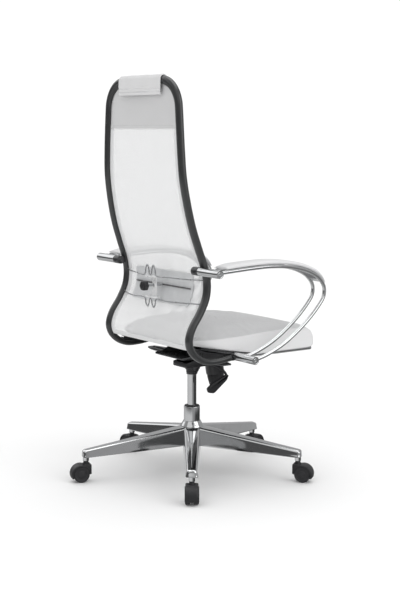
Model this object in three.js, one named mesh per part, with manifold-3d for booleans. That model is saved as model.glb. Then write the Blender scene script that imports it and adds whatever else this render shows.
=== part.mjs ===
// Swivel office chair with an S-curved tube frame, a mesh back, loop arms and a five-leg base.
// Units are millimetres, +Z is up, and the sitter faces -Y with their left hand on the +X side.
// The origin is on the floor, at the centre of the chair's footprint.

import * as THREE from 'three';
import { mergeVertices } from 'three/addons/utils/BufferGeometryUtils.js';
import Module from 'manifold-3d';

const wasm = await Module();
wasm.setup();

// ---- driving dimensions -------------------------------------------------------------------

const gap = 0.3; // between faces that touch on the real chair

// base and column
const legCount = 5;
const legPhase = 0.9; // degrees from +X to the first leg
const legReach = 345; // column axis to the end face of a leg
const legTopRoot = 149;
const legTopTip = 95.5;
const legBottomRoot = 92;
const legBottomTip = 75;
const legWidthRoot = 55;
const legWidthTip = 36;
const legRoot = 20; // where a leg starts, inside the hub
const legWall = 3;
const columnRadius = 25;
const columnWall = 2.5;
const hubRadius = columnRadius + 8;
const columnBottom = 66;
const columnTop = 210;
const bushLength = 60;
const cylinderRadius = 14;
const cylinderEngaged = 38; // length of gas cylinder inside the column when it is fully up

// casters
const casterReach = legReach - 10; // column axis to the caster's swivel axis
const casterTrail = 17;
const wheelRadius = 25;
const wheelWidth = 15;
const wheelSpacing = 10; // clear distance between the two wheels of a caster
const stemRadius = 5.2;
const bossBottom = 2 * wheelRadius + 12;

// tilt mechanism
const collarBottom = 309;
const housingHalfWidth = 36;
const housingFloor = 335;
const housingWall = 3;
const tiltAxisY = -47;
const tiltAxisZ = 352;
const tiltPinRadius = 5;
const towerTiltDeg = 9.7; // the spring tower leans forward as it goes down
const towerRadius = 28.5;
const towerLength = 38;
const knobRadius = 26.5;
const knobLength = 40;
const leverPivotX = -36;

// seat
const frameHalfWidth = 216; // centre of a side tube at the seat
const seatHalfWidth = frameHalfWidth + 18;
const panHalfWidth = seatHalfWidth - 38;
const panThickness = 7.5;
const seatCornerRadius = 72;
const seatTubeRadius = 7;
const seatTubeX = frameHalfWidth - 4;
const seatTubeZ = 392.5;

// tube frame of the back
const tubeHalfWidth = 13; // across the frame
const tubeHalfDepth = 9.75; // through the frame
const frameTaper = 33; // how much the half-width shrinks up to taperHeight
const taperBase = 386;
const taperHeight = 754;
const frameCornerRadius = 85;
const frameTop = 1190; // centre of the top tube
const frameTopY = 174.5;
const frameBendTop = 842; // above this height the side tubes are nearly upright
const meshThickness = 1.6;
const meshBottom = 428;
const meshTop = frameTop - 138;
const panelThickness = 4;
const sleeveHalfWidth = frameHalfWidth - 106;
const sleeveFlapBottom = frameTop - 41;
const headCushionHalfWidth = frameHalfWidth - 60;
const headCushionDepth = 43;
const headCushionBottom = frameTop - 132;
const headCushionTop = frameTop - 19;

// arms
const postRadius = 12;
const stubOuterX = frameHalfWidth + 9;
const rodInnerX = stubOuterX + 35;
const rodOuterX = rodInnerX + 52;
const postOuterX = rodOuterX + 10;
const upperPostY = 130;
const upperPostZ = 651;
const lowerPostY = 4;
const lowerPostZ = 396;
const rodRadius = 5.6;
const padThickness = 15;
const padOverhang = 6;

// lumbar support
const plateHalfWidth = frameHalfWidth - 66;
const plateBottom = 538;
const plateTop = 638;
const plateThickness = 2.5;
const plateOffset = 4; // behind the mesh
const meshWaistY = 98; // the mesh at the height of the lumbar screw
const wireRadius = 2;
const wireCentreY = 150;
const upperWireZ = 622;
const lowerWireZ = 554;
const lumbarBarHalfLength = plateHalfWidth - 7.5;
const lumbarScrewZ = 592;
const lumbarKnobRadius = 15;

// ---- finishes -----------------------------------------------------------------------------

function finish(color, roughness, metalness) {
  return new THREE.MeshStandardMaterial({ color, roughness, metalness });
}

const chrome = finish(0xd9dbdc, 0.08, 1);
const steel = finish(0x9a9c9e, 0.35, 1);
const frameLacquer = finish(0x3b3c3e, 0.35, 0.3);
const blackPlastic = finish(0x1d1e20, 0.5, 0);
const blackSteel = finish(0x232426, 0.4, 0.4);
const greySteel = finish(0x77797b, 0.25, 0.8);
const tyreRubber = finish(0x2a2b2d, 0.6, 0);
const whiteMesh = finish(0xe4e5e6, 0.8, 0);
const whiteLeather = finish(0xe2e2e3, 0.5, 0);
const seatFabric = finish(0xcfd0d1, 0.85, 0);
const frostedPlastic = finish(0xc4c6c8, 0.4, 0);

// ---- shape helpers ------------------------------------------------------------------------

const chair = new THREE.Group();

function outward(geometry) {
  const solid = geometry.index ? geometry.toNonIndexed() : geometry;
  const p = solid.getAttribute('position');
  const a = new THREE.Vector3();
  const b = new THREE.Vector3();
  const c = new THREE.Vector3();
  let volume = 0;
  for (let i = 0; i < p.count; i += 3) {
    a.fromBufferAttribute(p, i);
    b.fromBufferAttribute(p, i + 1);
    c.fromBufferAttribute(p, i + 2);
    volume += a.dot(b.cross(c));
  }
  if (volume > 0) return solid;
  for (let i = 0; i < p.count; i += 3) {
    a.fromBufferAttribute(p, i);
    c.fromBufferAttribute(p, i + 2);
    p.setXYZ(i, c.x, c.y, c.z);
    p.setXYZ(i + 2, a.x, a.y, a.z);
  }
  return solid;
}

function toSolid(geometry) {
  const bare = new THREE.BufferGeometry();
  bare.setAttribute('position', outward(geometry).getAttribute('position').clone());
  const merged = mergeVertices(bare, 1e-3);
  return new wasm.Manifold(new wasm.Mesh({
    numProp: 3,
    vertProperties: new Float32Array(merged.getAttribute('position').array),
    triVerts: new Uint32Array(merged.index.array),
  }));
}

function toGeometry(solid) {
  const mesh = solid.getMesh();
  const geometry = new THREE.BufferGeometry();
  geometry.setAttribute('position', new THREE.BufferAttribute(new Float32Array(mesh.vertProperties), 3));
  geometry.setIndex(new THREE.BufferAttribute(new Uint32Array(mesh.triVerts), 1));
  return geometry;
}

function join(first, ...others) {
  return toGeometry(others.reduce((sum, each) => sum.add(toSolid(each)), toSolid(first)));
}

function cut(first, ...tools) {
  return toGeometry(tools.reduce((rest, each) => rest.subtract(toSolid(each)), toSolid(first)));
}

function common(first, second) {
  return toGeometry(toSolid(first).intersect(toSolid(second)));
}

function place(name, geometry, material, parent = chair) {
  const mesh = new THREE.Mesh(outward(geometry), material);
  mesh.name = name;
  parent.add(mesh);
  return mesh;
}

function box(x0, x1, y0, y1, z0, z1) {
  const geometry = new THREE.BoxGeometry(Math.abs(x1 - x0), y1 - y0, z1 - z0);
  return geometry.translate((x0 + x1) / 2, (y0 + y1) / 2, (z0 + z1) / 2);
}

function outline(points) {
  return new THREE.Shape(points.map(([u, v]) => new THREE.Vector2(u, v)));
}

// a [y, z] outline carried from x0 to x1
function sideSolid(points, x0, x1, bevel = 0) {
  const options = { depth: Math.abs(x1 - x0) - 2 * bevel, bevelEnabled: bevel > 0 };
  Object.assign(options, { bevelThickness: bevel, bevelSize: bevel, bevelOffset: -bevel, bevelSegments: 2 });
  const geometry = new THREE.ExtrudeGeometry(outline(points), options);
  const basis = new THREE.Matrix4().makeBasis(
    new THREE.Vector3(0, 1, 0), new THREE.Vector3(0, 0, 1), new THREE.Vector3(1, 0, 0));
  return geometry.applyMatrix4(basis).translate(Math.min(x0, x1) + bevel, 0, 0);
}

// an [x, z] outline carried from y0 to y1
function frontSolid(points, y0, y1) {
  const geometry = new THREE.ExtrudeGeometry(outline(points), { depth: y1 - y0, bevelEnabled: false });
  const basis = new THREE.Matrix4().makeBasis(
    new THREE.Vector3(1, 0, 0), new THREE.Vector3(0, 0, 1), new THREE.Vector3(0, -1, 0));
  return geometry.applyMatrix4(basis).translate(0, y1, 0);
}

// an [x, y] outline carried from z0 to z1
function planSolid(points, z0, z1) {
  const geometry = new THREE.ExtrudeGeometry(outline(points), { depth: z1 - z0, bevelEnabled: false });
  return geometry.translate(0, 0, z0);
}

// an [r, z] profile turned about the Z axis; it starts and ends on the axis or closes on itself
function turned(profile, segments = 24) {
  const points = profile.map(([r, z]) => new THREE.Vector2(r, z));
  return new THREE.LatheGeometry(points, segments).rotateX(Math.PI / 2);
}

function rod(radius, z0, z1, segments = 16) {
  return turned([[0, z0], [radius, z0], [radius, z1], [0, z1]], segments);
}

function rodAlongX(radius, x0, x1, y, z, segments = 20) {
  return rod(radius, Math.min(x0, x1), Math.max(x0, x1), segments).rotateY(Math.PI / 2).translate(0, y, z);
}

function arc(cx, cy, radius, fromDeg, toDeg, steps) {
  return Array.from({ length: steps + 1 }, (_, i) => {
    const angle = THREE.MathUtils.degToRad(fromDeg + (toDeg - fromDeg) * i / steps);
    return [cx + radius * Math.cos(angle), cy + radius * Math.sin(angle)];
  });
}

function swept(curve, halfWidth, halfDepth, sides, steps) {
  const section = Array.from({ length: sides }, (_, i) => {
    const angle = 2 * Math.PI * (i + 0.5) / sides;
    return [halfWidth * Math.cos(angle), halfDepth * Math.sin(angle)];
  });
  return new THREE.ExtrudeGeometry(outline(section), { steps, bevelEnabled: false, extrudePath: curve });
}

function spline(points) {
  return new THREE.CatmullRomCurve3(points.map((p) => new THREE.Vector3(...p)), false, 'centripetal');
}

// ---- star base, column and gas lift ---------------------------------------------------------

// a bar that tapers outwards along X; `inset` draws the room inside it, open below
function makeTaper(inset) {
  const below = inset > 0 ? 20 : 0;
  const reach = legReach - inset;
  const geometry = new THREE.ExtrudeGeometry(outline([
    [legRoot + 2 * inset, legBottomRoot - below],
    [reach, legBottomTip - below],
    [reach, legTopTip - inset],
    [legRoot + 2 * inset, legTopRoot - inset],
  ]), { depth: 2, bevelEnabled: false });
  geometry.rotateX(Math.PI / 2).translate(0, 1, 0);
  const p = geometry.getAttribute('position');
  for (let i = 0; i < p.count; i += 1) {
    const along = (p.getX(i) - legRoot) / (legReach - legRoot);
    const width = THREE.MathUtils.lerp(legWidthRoot, legWidthTip, along) - 2 * inset;
    p.setY(i, p.getY(i) * width / 2);
  }
  return geometry;
}

function legAngle(index) {
  return THREE.MathUtils.degToRad(legPhase + index * 360 / legCount);
}

function makeBase() {
  const hub = turned([
    [0, legBottomRoot - 2],
    [hubRadius, legBottomRoot - 2],
    [hubRadius, legTopRoot],
    [columnRadius + 2, legTopRoot + 14],
    [0, legTopRoot + 14],
  ], 30);
  const legs = Array.from({ length: legCount }, (_, i) => i);
  const outer = legs.map((i) => makeTaper(0).rotateZ(legAngle(i)));
  const rooms = legs.map((i) => makeTaper(legWall).rotateZ(legAngle(i)));
  const boss = rod(stemRadius + 4.3, bossBottom, legTopTip - 1, 12).translate(casterReach, 0, 0);
  const bosses = legs.map((i) => boss.clone().rotateZ(legAngle(i)));
  const socket = rod(stemRadius + gap, bossBottom - 5, legTopTip - 6, 12).translate(casterReach, 0, 0);
  const sockets = legs.map((i) => socket.clone().rotateZ(legAngle(i)));
  const shell = cut(join(outer[0], ...outer.slice(1)), ...rooms);
  const columnBore = rod(columnRadius + gap, columnBottom - 10, columnTop, 30);
  return cut(join(shell, hub, ...bosses), columnBore, ...sockets);
}

place('star_base', makeBase(), chrome);

const tubeBore = columnRadius - columnWall;
place('column_tube', turned([
  [8, columnBottom],
  [columnRadius, columnBottom],
  [columnRadius, columnTop],
  [tubeBore, columnTop],
  [tubeBore, columnBottom + 3],
  [8, columnBottom + 3],
  [8, columnBottom],
], 30), chrome);

place('column_bush', turned([
  [cylinderRadius + gap, columnTop - bushLength],
  [tubeBore - gap, columnTop - bushLength],
  [tubeBore - gap, columnTop + gap],
  [columnRadius - 1, columnTop + gap],
  [columnRadius - 2, columnTop + 3],
  [cylinderRadius + gap, columnTop + 3],
  [cylinderRadius + gap, columnTop - bushLength],
], 24), blackPlastic);

const bearingFloor = columnBottom + 3 + gap;
const bearingTop = bearingFloor + 5;
place('thrust_bearing', turned([
  [8, bearingFloor],
  [17, bearingFloor],
  [17, bearingTop],
  [8, bearingTop],
  [8, bearingFloor],
], 16), steel);

// the piston rod turns on the thrust bearing, and the gas cylinder slides on the rod
const cylinderBottom = columnTop - cylinderEngaged;
const cylinderTop = housingFloor + 6;
const headBottom = cylinderBottom + 6;
const cylinderBore = cylinderRadius - 3;
const headRadius = cylinderBore - 0.5;
place('piston_rod', turned([
  [0, columnBottom + 2],
  [5, columnBottom + 2],
  [5, bearingTop + gap],
  [13, bearingTop + gap],
  [13, bearingTop + gap + 3],
  [5, bearingTop + gap + 3],
  [5, headBottom],
  [headRadius, headBottom],
  [headRadius, headBottom + 8],
  [0, headBottom + 8],
], 16), steel);

place('gas_cylinder', turned([
  [5 + gap, cylinderBottom],
  [cylinderRadius, cylinderBottom],
  [cylinderRadius, collarBottom + 12],
  [cylinderRadius - 1, cylinderTop],
  [4 + gap, cylinderTop],
  [4 + gap, cylinderTop - 14],
  [0, cylinderTop - 14],
  [0, cylinderTop - 24],
  [cylinderBore, cylinderTop - 24],
  [cylinderBore, cylinderBottom + 5],
  [5 + gap, cylinderBottom + 5],
  [5 + gap, cylinderBottom],
], 24), chrome);

const pinTop = cylinderTop + 6;
const leverRadius = 4;
const leverZ = pinTop + leverRadius + gap;
place('release_pin', rod(4, cylinderTop - 9, pinTop, 12), steel);

// ---- casters --------------------------------------------------------------------------------

function makeCasterFork() {
  const hoodRadius = wheelRadius + 5;
  const innerRadius = wheelRadius + 1.3;
  const halfWidth = wheelSpacing / 2 + wheelWidth + 0.5;
  const rear = casterTrail - innerRadius - 3.7;
  const hood = [
    ...arc(casterTrail, wheelRadius, hoodRadius, -25, 90, 7),
    [rear + 2, wheelRadius + hoodRadius],
    [rear, wheelRadius + hoodRadius - 3],
    [rear, wheelRadius],
    ...arc(casterTrail, wheelRadius, innerRadius, 180, -25, 9),
  ];
  const web = arc(casterTrail, wheelRadius, innerRadius + 1, -25, 205, 9);
  const upright = (points, half) => {
    const geometry = new THREE.ExtrudeGeometry(outline(points), { depth: 2 * half, bevelEnabled: false });
    return geometry.rotateX(Math.PI / 2).translate(0, half, 0);
  };
  const axleHalf = wheelSpacing / 2 + wheelWidth - 5;
  const axle = rod(3, -axleHalf, axleHalf, 10).rotateX(Math.PI / 2).translate(casterTrail, 0, wheelRadius);
  const stem = turned([
    [0, wheelRadius + hoodRadius - 4],
    [7.5, wheelRadius + hoodRadius - 4],
    [7.5, bossBottom - 0.6],
    [stemRadius, bossBottom - 0.6],
    [stemRadius, legBottomTip + 11],
    [0, legBottomTip + 11],
  ], 12);
  return join(upright(hood, halfWidth), upright(web, wheelSpacing / 2 - 0.6), axle, stem);
}

// the wheel's rim is faceted, with a flat facet at its lowest line
function makeWheel() {
  const boreEnd = wheelWidth - 4;
  const facets = 18;
  const rim = wheelRadius / Math.cos(Math.PI / facets);
  return turned([
    [0, boreEnd],
    [3 + gap, boreEnd],
    [3 + gap, 0],
    [rim, 0],
    [rim, wheelWidth - 2.5],
    [rim - 2.5, wheelWidth],
    [0, wheelWidth],
  ], facets).rotateZ(Math.PI / facets);
}

for (let i = 0; i < legCount; i += 1) {
  const caster = new THREE.Group();
  caster.position.set(casterReach * Math.cos(legAngle(i)), casterReach * Math.sin(legAngle(i)), 0);
  caster.rotation.z = legAngle(i);
  chair.add(caster);
  place(`caster_${i + 1}_fork`, makeCasterFork(), blackPlastic, caster);
  [['left', 1], ['right', -1]].forEach(([hand, side]) => {
    const wheel = place(`caster_${i + 1}_wheel_${hand}`, makeWheel(), tyreRubber, caster);
    wheel.position.set(casterTrail, side * wheelSpacing / 2, wheelRadius);
    wheel.rotation.x = -side * Math.PI / 2;
  });
}

// ---- tilt mechanism ---------------------------------------------------------------------------

const towerTop = new THREE.Vector3(0, -82, 341);
const towerTilt = THREE.MathUtils.degToRad(-towerTiltDeg);

// moves a piece drawn downwards from the origin onto the leaning axis of the spring tower
function ontoTower(geometry) {
  return geometry.rotateX(towerTilt).translate(towerTop.x, towerTop.y, towerTop.z);
}

function makeHousing() {
  const front = -108;
  const rear = 45;
  const shell = [
    [front, housingFloor + 3],
    [front + 8, housingFloor],
    [rear, housingFloor],
    [rear, tiltAxisZ - 2],
    [tiltAxisY + 12, tiltAxisZ + 13],
    [front, tiltAxisZ + 13],
  ];
  const body = sideSolid(shell, -housingHalfWidth, housingHalfWidth);
  const socket = turned([
    [0, collarBottom],
    [cylinderRadius + 3, collarBottom],
    [cylinderRadius + 3, collarBottom + 12],
    [cylinderRadius + 13, housingFloor + 2],
    [0, housingFloor + 2],
  ], 24);
  const tower = ontoTower(rod(towerRadius, -towerLength, 4, 24));
  const inner = housingHalfWidth - housingWall;
  const hollow = box(-inner, inner, front + housingWall, rear - housingWall, housingFloor + 3, tiltAxisZ + 30);
  const bore = turned([
    [0, collarBottom - 1],
    [cylinderRadius + gap, collarBottom - 1],
    [cylinderRadius + gap, collarBottom + 12],
    [cylinderRadius + gap - 1, cylinderTop],
    [0, cylinderTop],
  ], 24);
  const springRoom = ontoTower(rod(towerRadius - housingWall, -towerLength - 5, 20, 20));
  const leverSlot = box(-housingHalfWidth - 1, -inner + 1, -12, 2, leverZ - 6, leverZ + 20);
  const pinHole = rodAlongX(tiltPinRadius + gap, -50, 50, tiltAxisY, tiltAxisZ, 12);
  return cut(join(body, socket, tower), hollow, bore, springRoom, leverSlot, pinHole);
}

place('mechanism_housing', makeHousing(), blackSteel);

const flangeInner = housingHalfWidth + 2.5;
const flangeThickness = 4;
place('tilt_pivot_pin', rodAlongX(
  tiltPinRadius, -flangeInner - flangeThickness - 4, flangeInner + flangeThickness + 4, tiltAxisY, tiltAxisZ, 12), steel);

const screwTop = 14;
place('tension_knob', ontoTower(join(
  turned([
    [0, -towerLength - knobLength],
    [knobRadius - 7, -towerLength - knobLength],
    [knobRadius - 3, -towerLength - knobLength + 5],
    [knobRadius, -towerLength - 4],
    [knobRadius - 1, -towerLength - 0.5],
    [0, -towerLength - 0.5],
  ], 24),
  rod(4, -towerLength - 4, screwTop, 8),
)), blackPlastic);

function makeTensionSpring() {
  const turns = 4;
  const radius = 17;
  const wire = 2.4;
  const length = 32;
  const points = Array.from({ length: turns * 8 + 1 }, (_, i) => {
    const angle = i * Math.PI / 4;
    return [radius * Math.cos(angle), radius * Math.sin(angle), -towerLength + 3.2 + length * i / (turns * 8)];
  });
  return ontoTower(swept(spline(points), wire, wire, 5, turns * 10));
}

place('tension_spring', makeTensionSpring(), steel);

function makeLiftLever() {
  const arm = swept(spline([
    [6, 0, leverZ],
    [-8, -1, leverZ],
    [leverPivotX, -5, leverZ],
    [-56, -13, leverZ - 2],
    [-82, -40, 338],
    [-96, -57, 318],
    [-98, -58, 306],
  ]), leverRadius, leverRadius, 8, 16);
  const paddle = sideSolid([
    [-66, 313], [-58, 317], [-48, 312], [0, 292], [15, 280], [10, 267], [-11, 263], [-59, 299],
  ], -94, -103);
  return join(arm, paddle);
}

place('lift_lever', makeLiftLever(), blackPlastic);

// ---- seat -------------------------------------------------------------------------------------

// underside of the seat, from the rear edge to the front, as [y, z]
const seatRear = 153;
const seatFront = -310;
const undersideRear = [145, 434];
const undersideMid = [5, 408];
const undersideKnee = [-90, 394];
const undersideFront = [-278, 394];

function undersideLine(rearY, frontY, rise) {
  const slope = (undersideRear[1] - undersideMid[1]) / (undersideRear[0] - undersideMid[0]);
  const rearZ = undersideMid[1] + slope * (rearY - undersideMid[0]);
  const line = [[rearY, rearZ], undersideMid, undersideKnee, [frontY, undersideFront[1]]];
  return line.map(([y, z]) => [y, z + rise]);
}

function undersideBand(low, high, rearY, frontY) {
  return [...undersideLine(rearY, frontY, low), ...undersideLine(rearY, frontY, high).reverse()];
}

const belowSeat = -25; // how far below the underside a cutting tool reaches
const recessFront = -262;
const recessRear = 118;

function makeSeatCushion() {
  const profile = [
    undersideRear,
    undersideMid,
    undersideKnee,
    undersideFront,
    [-300, 402],
    [seatFront, 416],
    [-305, 433],
    [-284, 450],
    [-235, 464],
    [-160, 475],
    [-60, 481],
    [40, 479],
    [105, 468],
    [142, 454],
    [seatRear, 443],
  ];
  const block = sideSolid(profile, -seatHalfWidth, seatHalfWidth, 9);
  const r = seatCornerRadius;
  const w = seatHalfWidth;
  const rearRadius = r * 1.1;
  const rearCornerX = w - 30 - 1.3 * r;
  const plan = planSolid([
    ...arc(w - r, seatFront + r, r, -90, 0, 6),
    [w, -40],
    [w - 22, 60],
    ...arc(rearCornerX, seatRear - rearRadius, rearRadius, 10, 90, 6),
    ...arc(-rearCornerX, seatRear - rearRadius, rearRadius, 90, 170, 6),
    [-(w - 22), 60],
    [-w, -40],
    ...arc(-(w - r), seatFront + r, r, 180, 270, 6),
  ], 300, 600);
  const recess = sideSolid(undersideBand(belowSeat, panThickness, seatRear + 20, recessFront), -(w - 10), w - 10);
  const lipped = common(recess, planSolid([
    [-(w - 10), recessFront],
    [w - 10, recessFront],
    [w - 10, -30],
    [w - 30, 50],
    [w - 84, recessRear],
    [-(w - 84), recessRear],
    [-(w - 30), 50],
    [-(w - 10), -30],
  ], 300, 600));
  const grooves = [-1, 1].map((side) => sideSolid([
    [-20, 380], [-300, 380], [-300, seatTubeZ + seatTubeRadius + 1.5], [-20, seatTubeZ + seatTubeRadius + 1.5],
  ], side * (seatTubeX - seatTubeRadius - 2), side * (seatTubeX + seatTubeRadius + 2)));
  return cut(common(block, plan), lipped, ...grooves);
}

place('seat_cushion', makeSeatCushion(), seatFabric);

function makeSeatPan() {
  const front = recessFront + 6;
  const rear = recessRear - 4;
  const rearHalf = panHalfWidth - 50;
  const band = sideSolid(undersideBand(0, panThickness - gap, rear, front), -panHalfWidth, panHalfWidth);
  const plan = planSolid([
    [-panHalfWidth, front], [panHalfWidth, front], [panHalfWidth, 40],
    [rearHalf, rear], [-rearHalf, rear], [-panHalfWidth, 40],
  ], 300, 600);
  return common(band, plan);
}

place('seat_pan', makeSeatPan(), blackPlastic);

const carrierBottom = tiltAxisZ + 17;
const carrierTop = carrierBottom + 4;
const carrierHalfWidth = 75;
const carrierRear = 85;
const railFront = -200;
const wingTip = frameHalfWidth - 13;

function makeSeatCarrier() {
  const plate = box(-carrierHalfWidth, carrierHalfWidth, -125, carrierRear, carrierBottom, carrierTop);
  const rail = [
    [railFront, carrierBottom],
    [carrierRear, carrierBottom],
    ...undersideLine(carrierRear, railFront, -gap),
  ];
  const rails = [-1, 1].map((side) => sideSolid(
    rail, side * (carrierHalfWidth - 4), side * carrierHalfWidth));
  const wings = [-1, 1].map((side) => frontSolid([
    [side * (carrierHalfWidth - 5), carrierBottom + 1],
    [side * 110, carrierBottom - 2],
    [side * 150, carrierBottom],
    [side * wingTip, carrierBottom + 6],
    [side * wingTip, carrierBottom + 10],
    [side * 150, carrierTop + 2],
    [side * (carrierHalfWidth - 5), carrierTop],
  ], -18, 48));
  const flanges = [-1, 1].map((side) => sideSolid([
    [tiltAxisY - 12, tiltAxisZ - 9],
    [tiltAxisY + 12, tiltAxisZ - 9],
    [tiltAxisY + 40, carrierBottom + 2],
    [tiltAxisY - 40, carrierBottom + 2],
  ], side * flangeInner, side * (flangeInner + flangeThickness)));
  const pinHole = rodAlongX(tiltPinRadius + gap, -60, 60, tiltAxisY, tiltAxisZ, 12);
  return cut(join(plate, ...rails, ...wings, ...flanges), pinHole);
}

place('seat_carrier', makeSeatCarrier(), greySteel);

// ---- tube frame of the back -----------------------------------------------------------------

const cornerZ = frameTop - frameCornerRadius;
const upright = cornerZ - frameBendTop; // length of the nearly upright run below the corner

// centre line of a side tube in the side view, from its lower front end upwards, as [y, z]
const sideLine = [
  [18, 391.5], [60, 386.5], [100, 388], [133, 402], [155, 425], [162, 452], [152, 486], [122, 531],
  [102, 572], [97, 612], [104, 655], [124, 712], [144, 772], [160, frameBendTop],
  [frameTopY - 3.5, frameBendTop + 0.2776 * upright],
  [frameTopY - 0.5, frameBendTop + 0.5627 * upright],
  [frameTopY, cornerZ],
];

function halfWidthAt(z) {
  return frameHalfWidth - frameTaper * ((z - taperBase) / taperHeight) ** 2;
}

const cornerX = halfWidthAt(cornerZ) - frameCornerRadius;

function frameCurve() {
  const leftSide = sideLine.map(([y, z]) => [halfWidthAt(z), y, z]);
  const corner = arc(cornerX, cornerZ, frameCornerRadius, 0, 90, 6).slice(1).map(([x, z]) => [x, frameTopY, z]);
  const leftHalf = [...leftSide, ...corner, [cornerX / 2, frameTopY, frameTop]];
  const rightHalf = leftHalf.map(([x, y, z]) => [-x, y, z]).reverse();
  return spline([...leftHalf, [0, frameTopY, frameTop], ...rightHalf]);
}

const tubePath = frameCurve();

function frameTube(extra) {
  return swept(tubePath, tubeHalfWidth + extra, tubeHalfDepth + extra, 10, 76);
}

place('back_frame', frameTube(0), frameLacquer);

// a [y, z] band of the given thickness that follows the side line between two heights
function sideBand(z0, z1, thickness, stations, shift = 0) {
  const curve = spline(sideLine.map(([y, z]) => [0, y, z]));
  const samples = curve.getSpacedPoints(400).filter((p, i, all) => {
    const rising = i > 0 && p.z > all[i - 1].z;
    return rising && p.z >= z0 && p.z <= z1;
  });
  const picked = Array.from({ length: stations }, (_, i) => samples[
    Math.round(i * (samples.length - 1) / (stations - 1))]);
  const offset = (sign) => picked.map((p, i) => {
    const next = picked[Math.min(i + 1, stations - 1)];
    const last = picked[Math.max(i - 1, 0)];
    const length = Math.hypot(next.y - last.y, next.z - last.z);
    const reach = shift + sign * thickness / 2;
    return [p.y + reach * (next.z - last.z) / length, p.z - reach * (next.y - last.y) / length];
  });
  return [...offset(-1), ...offset(1).reverse()];
}

const edgeClearance = tubeHalfWidth + 1.2;

function sheetOutline(z0, z1, levels) {
  const right = Array.from({ length: levels }, (_, i) => {
    const z = z0 + (z1 - z0) * i / (levels - 1);
    return [halfWidthAt(z) - edgeClearance, z];
  });
  return [...right, ...right.map(([x, z]) => [-x, z]).reverse()];
}

place('back_mesh', common(
  sideSolid(sideBand(meshBottom, meshTop, meshThickness, 34), -seatHalfWidth, seatHalfWidth),
  frontSolid(sheetOutline(meshBottom - 20, meshTop + 20, 8), 0, 300),
), whiteMesh);

function makeHeadPanel() {
  const r = frameCornerRadius - edgeClearance;
  const topCentre = cornerZ;
  const left = meshTop + gap * 2;
  return frontSolid([
    [-(halfWidthAt(left) - edgeClearance), left],
    [halfWidthAt(left) - edgeClearance, left],
    ...arc(cornerX, topCentre, r, 0, 90, 8),
    ...arc(-cornerX, topCentre, r, 90, 180, 8),
  ], frameTopY - panelThickness / 2, frameTopY + panelThickness / 2);
}

place('headrest_panel', makeHeadPanel(), whiteLeather);

function makeSleeve() {
  const inner = tubeHalfDepth + gap + 0.1;
  const outer = inner + 4.3;
  const innerTop = frameTop + tubeHalfWidth + gap + 0.1 - inner;
  return sideSolid([
    [frameTopY + inner, sleeveFlapBottom],
    [frameTopY + outer, sleeveFlapBottom],
    ...arc(frameTopY, innerTop, outer, 0, 180, 8),
    [frameTopY - outer, headCushionTop + 5],
    [frameTopY - inner, headCushionTop + 5],
    ...arc(frameTopY, innerTop, inner, 180, 0, 8),
  ], -sleeveHalfWidth, sleeveHalfWidth);
}

place('headrest_sleeve', makeSleeve(), whiteLeather);

function makeHeadCushion() {
  const back = frameTopY - panelThickness / 2 - gap;
  const front = back - headCushionDepth;
  const cushion = sideSolid([
    [back, headCushionBottom],
    [back, headCushionTop],
    [back - 16, headCushionTop],
    [front + 6, headCushionTop - 22],
    [front, (headCushionTop + headCushionBottom) / 2],
    [front + 5, headCushionBottom + 18],
    [back - 18, headCushionBottom],
  ], -headCushionHalfWidth, headCushionHalfWidth, 7);
  return cut(cushion, frameTube(gap + 0.1));
}

place('headrest_cushion', makeHeadCushion(), whiteLeather);

// ---- arms -------------------------------------------------------------------------------------

// line of the arm rods in the side view, from the upper post round the front to the lower post
const rodLine = [
  [upperPostY - postRadius - 1.2, upperPostZ + 3.5], [60, 658], [0, 661], [-60, 662], [-130, 656],
  [-195, 640], [-236, 618], [-257, 590], [-256, 563], [-235, 534], [-186, 488], [-110, 436],
  [-40, 406.5], [lowerPostY - postRadius - 1.2, lowerPostZ + 2.5],
];

function makeUpperPost(side) {
  return rodAlongX(postRadius, side * (stubOuterX + gap), side * postOuterX, upperPostY, upperPostZ);
}

function makeUpperStub(side) {
  const tubeX = halfWidthAt(upperPostZ);
  const innerX = tubeX - tubeHalfWidth - 4;
  const barrel = rodAlongX(postRadius + 0.5, side * innerX, side * stubOuterX, upperPostY, upperPostZ);
  const saddleHalf = postRadius - 1;
  const saddle = box(side * (tubeX - 9), side * (tubeX + 9), 100, upperPostY,
    upperPostZ - saddleHalf, upperPostZ + saddleHalf);
  return cut(join(barrel, saddle), frameTube(gap + 0.1));
}

const blockFront = lowerPostY - postRadius - 4;

function makeSideBracket(side) {
  const outwards = (offset) => side * (frameHalfWidth + offset);
  const rail = sideSolid([
    [148, 424], [146, 431], [105, 419], [80, 413.5], [52, 411.5], [16, 409], [-4, 404],
    [-4, 396], [16, 400], [52, 404], [80, 406], [105, 411],
  ], outwards(-10), outwards(4));
  const block = box(outwards(-14), side * stubOuterX, blockFront, lowerPostY + postRadius + 2,
    lowerPostZ - postRadius - 1, lowerPostZ + postRadius - 2);
  const gusset = sideSolid([
    [144, 428], [105, 415], [60, 408], [10, 405], [10, 388], [60, 386], [100, 387], [133, 401],
  ], outwards(-6), outwards(-3));
  return cut(join(rail, block, gusset), frameTube(gap + 0.1), makeSeatClearance());
}

function makeSeatClearance() {
  return sideSolid(undersideBand(-gap, 60, seatRear + 20, -300), -seatHalfWidth - 16, seatHalfWidth + 16);
}

function makeLowerPost(side) {
  return rodAlongX(postRadius, side * (stubOuterX + gap), side * postOuterX, lowerPostY, lowerPostZ);
}

function makeArmRod(x) {
  return swept(spline(rodLine.map(([y, z]) => [x, y, z])), rodRadius, rodRadius, 7, 30);
}

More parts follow.
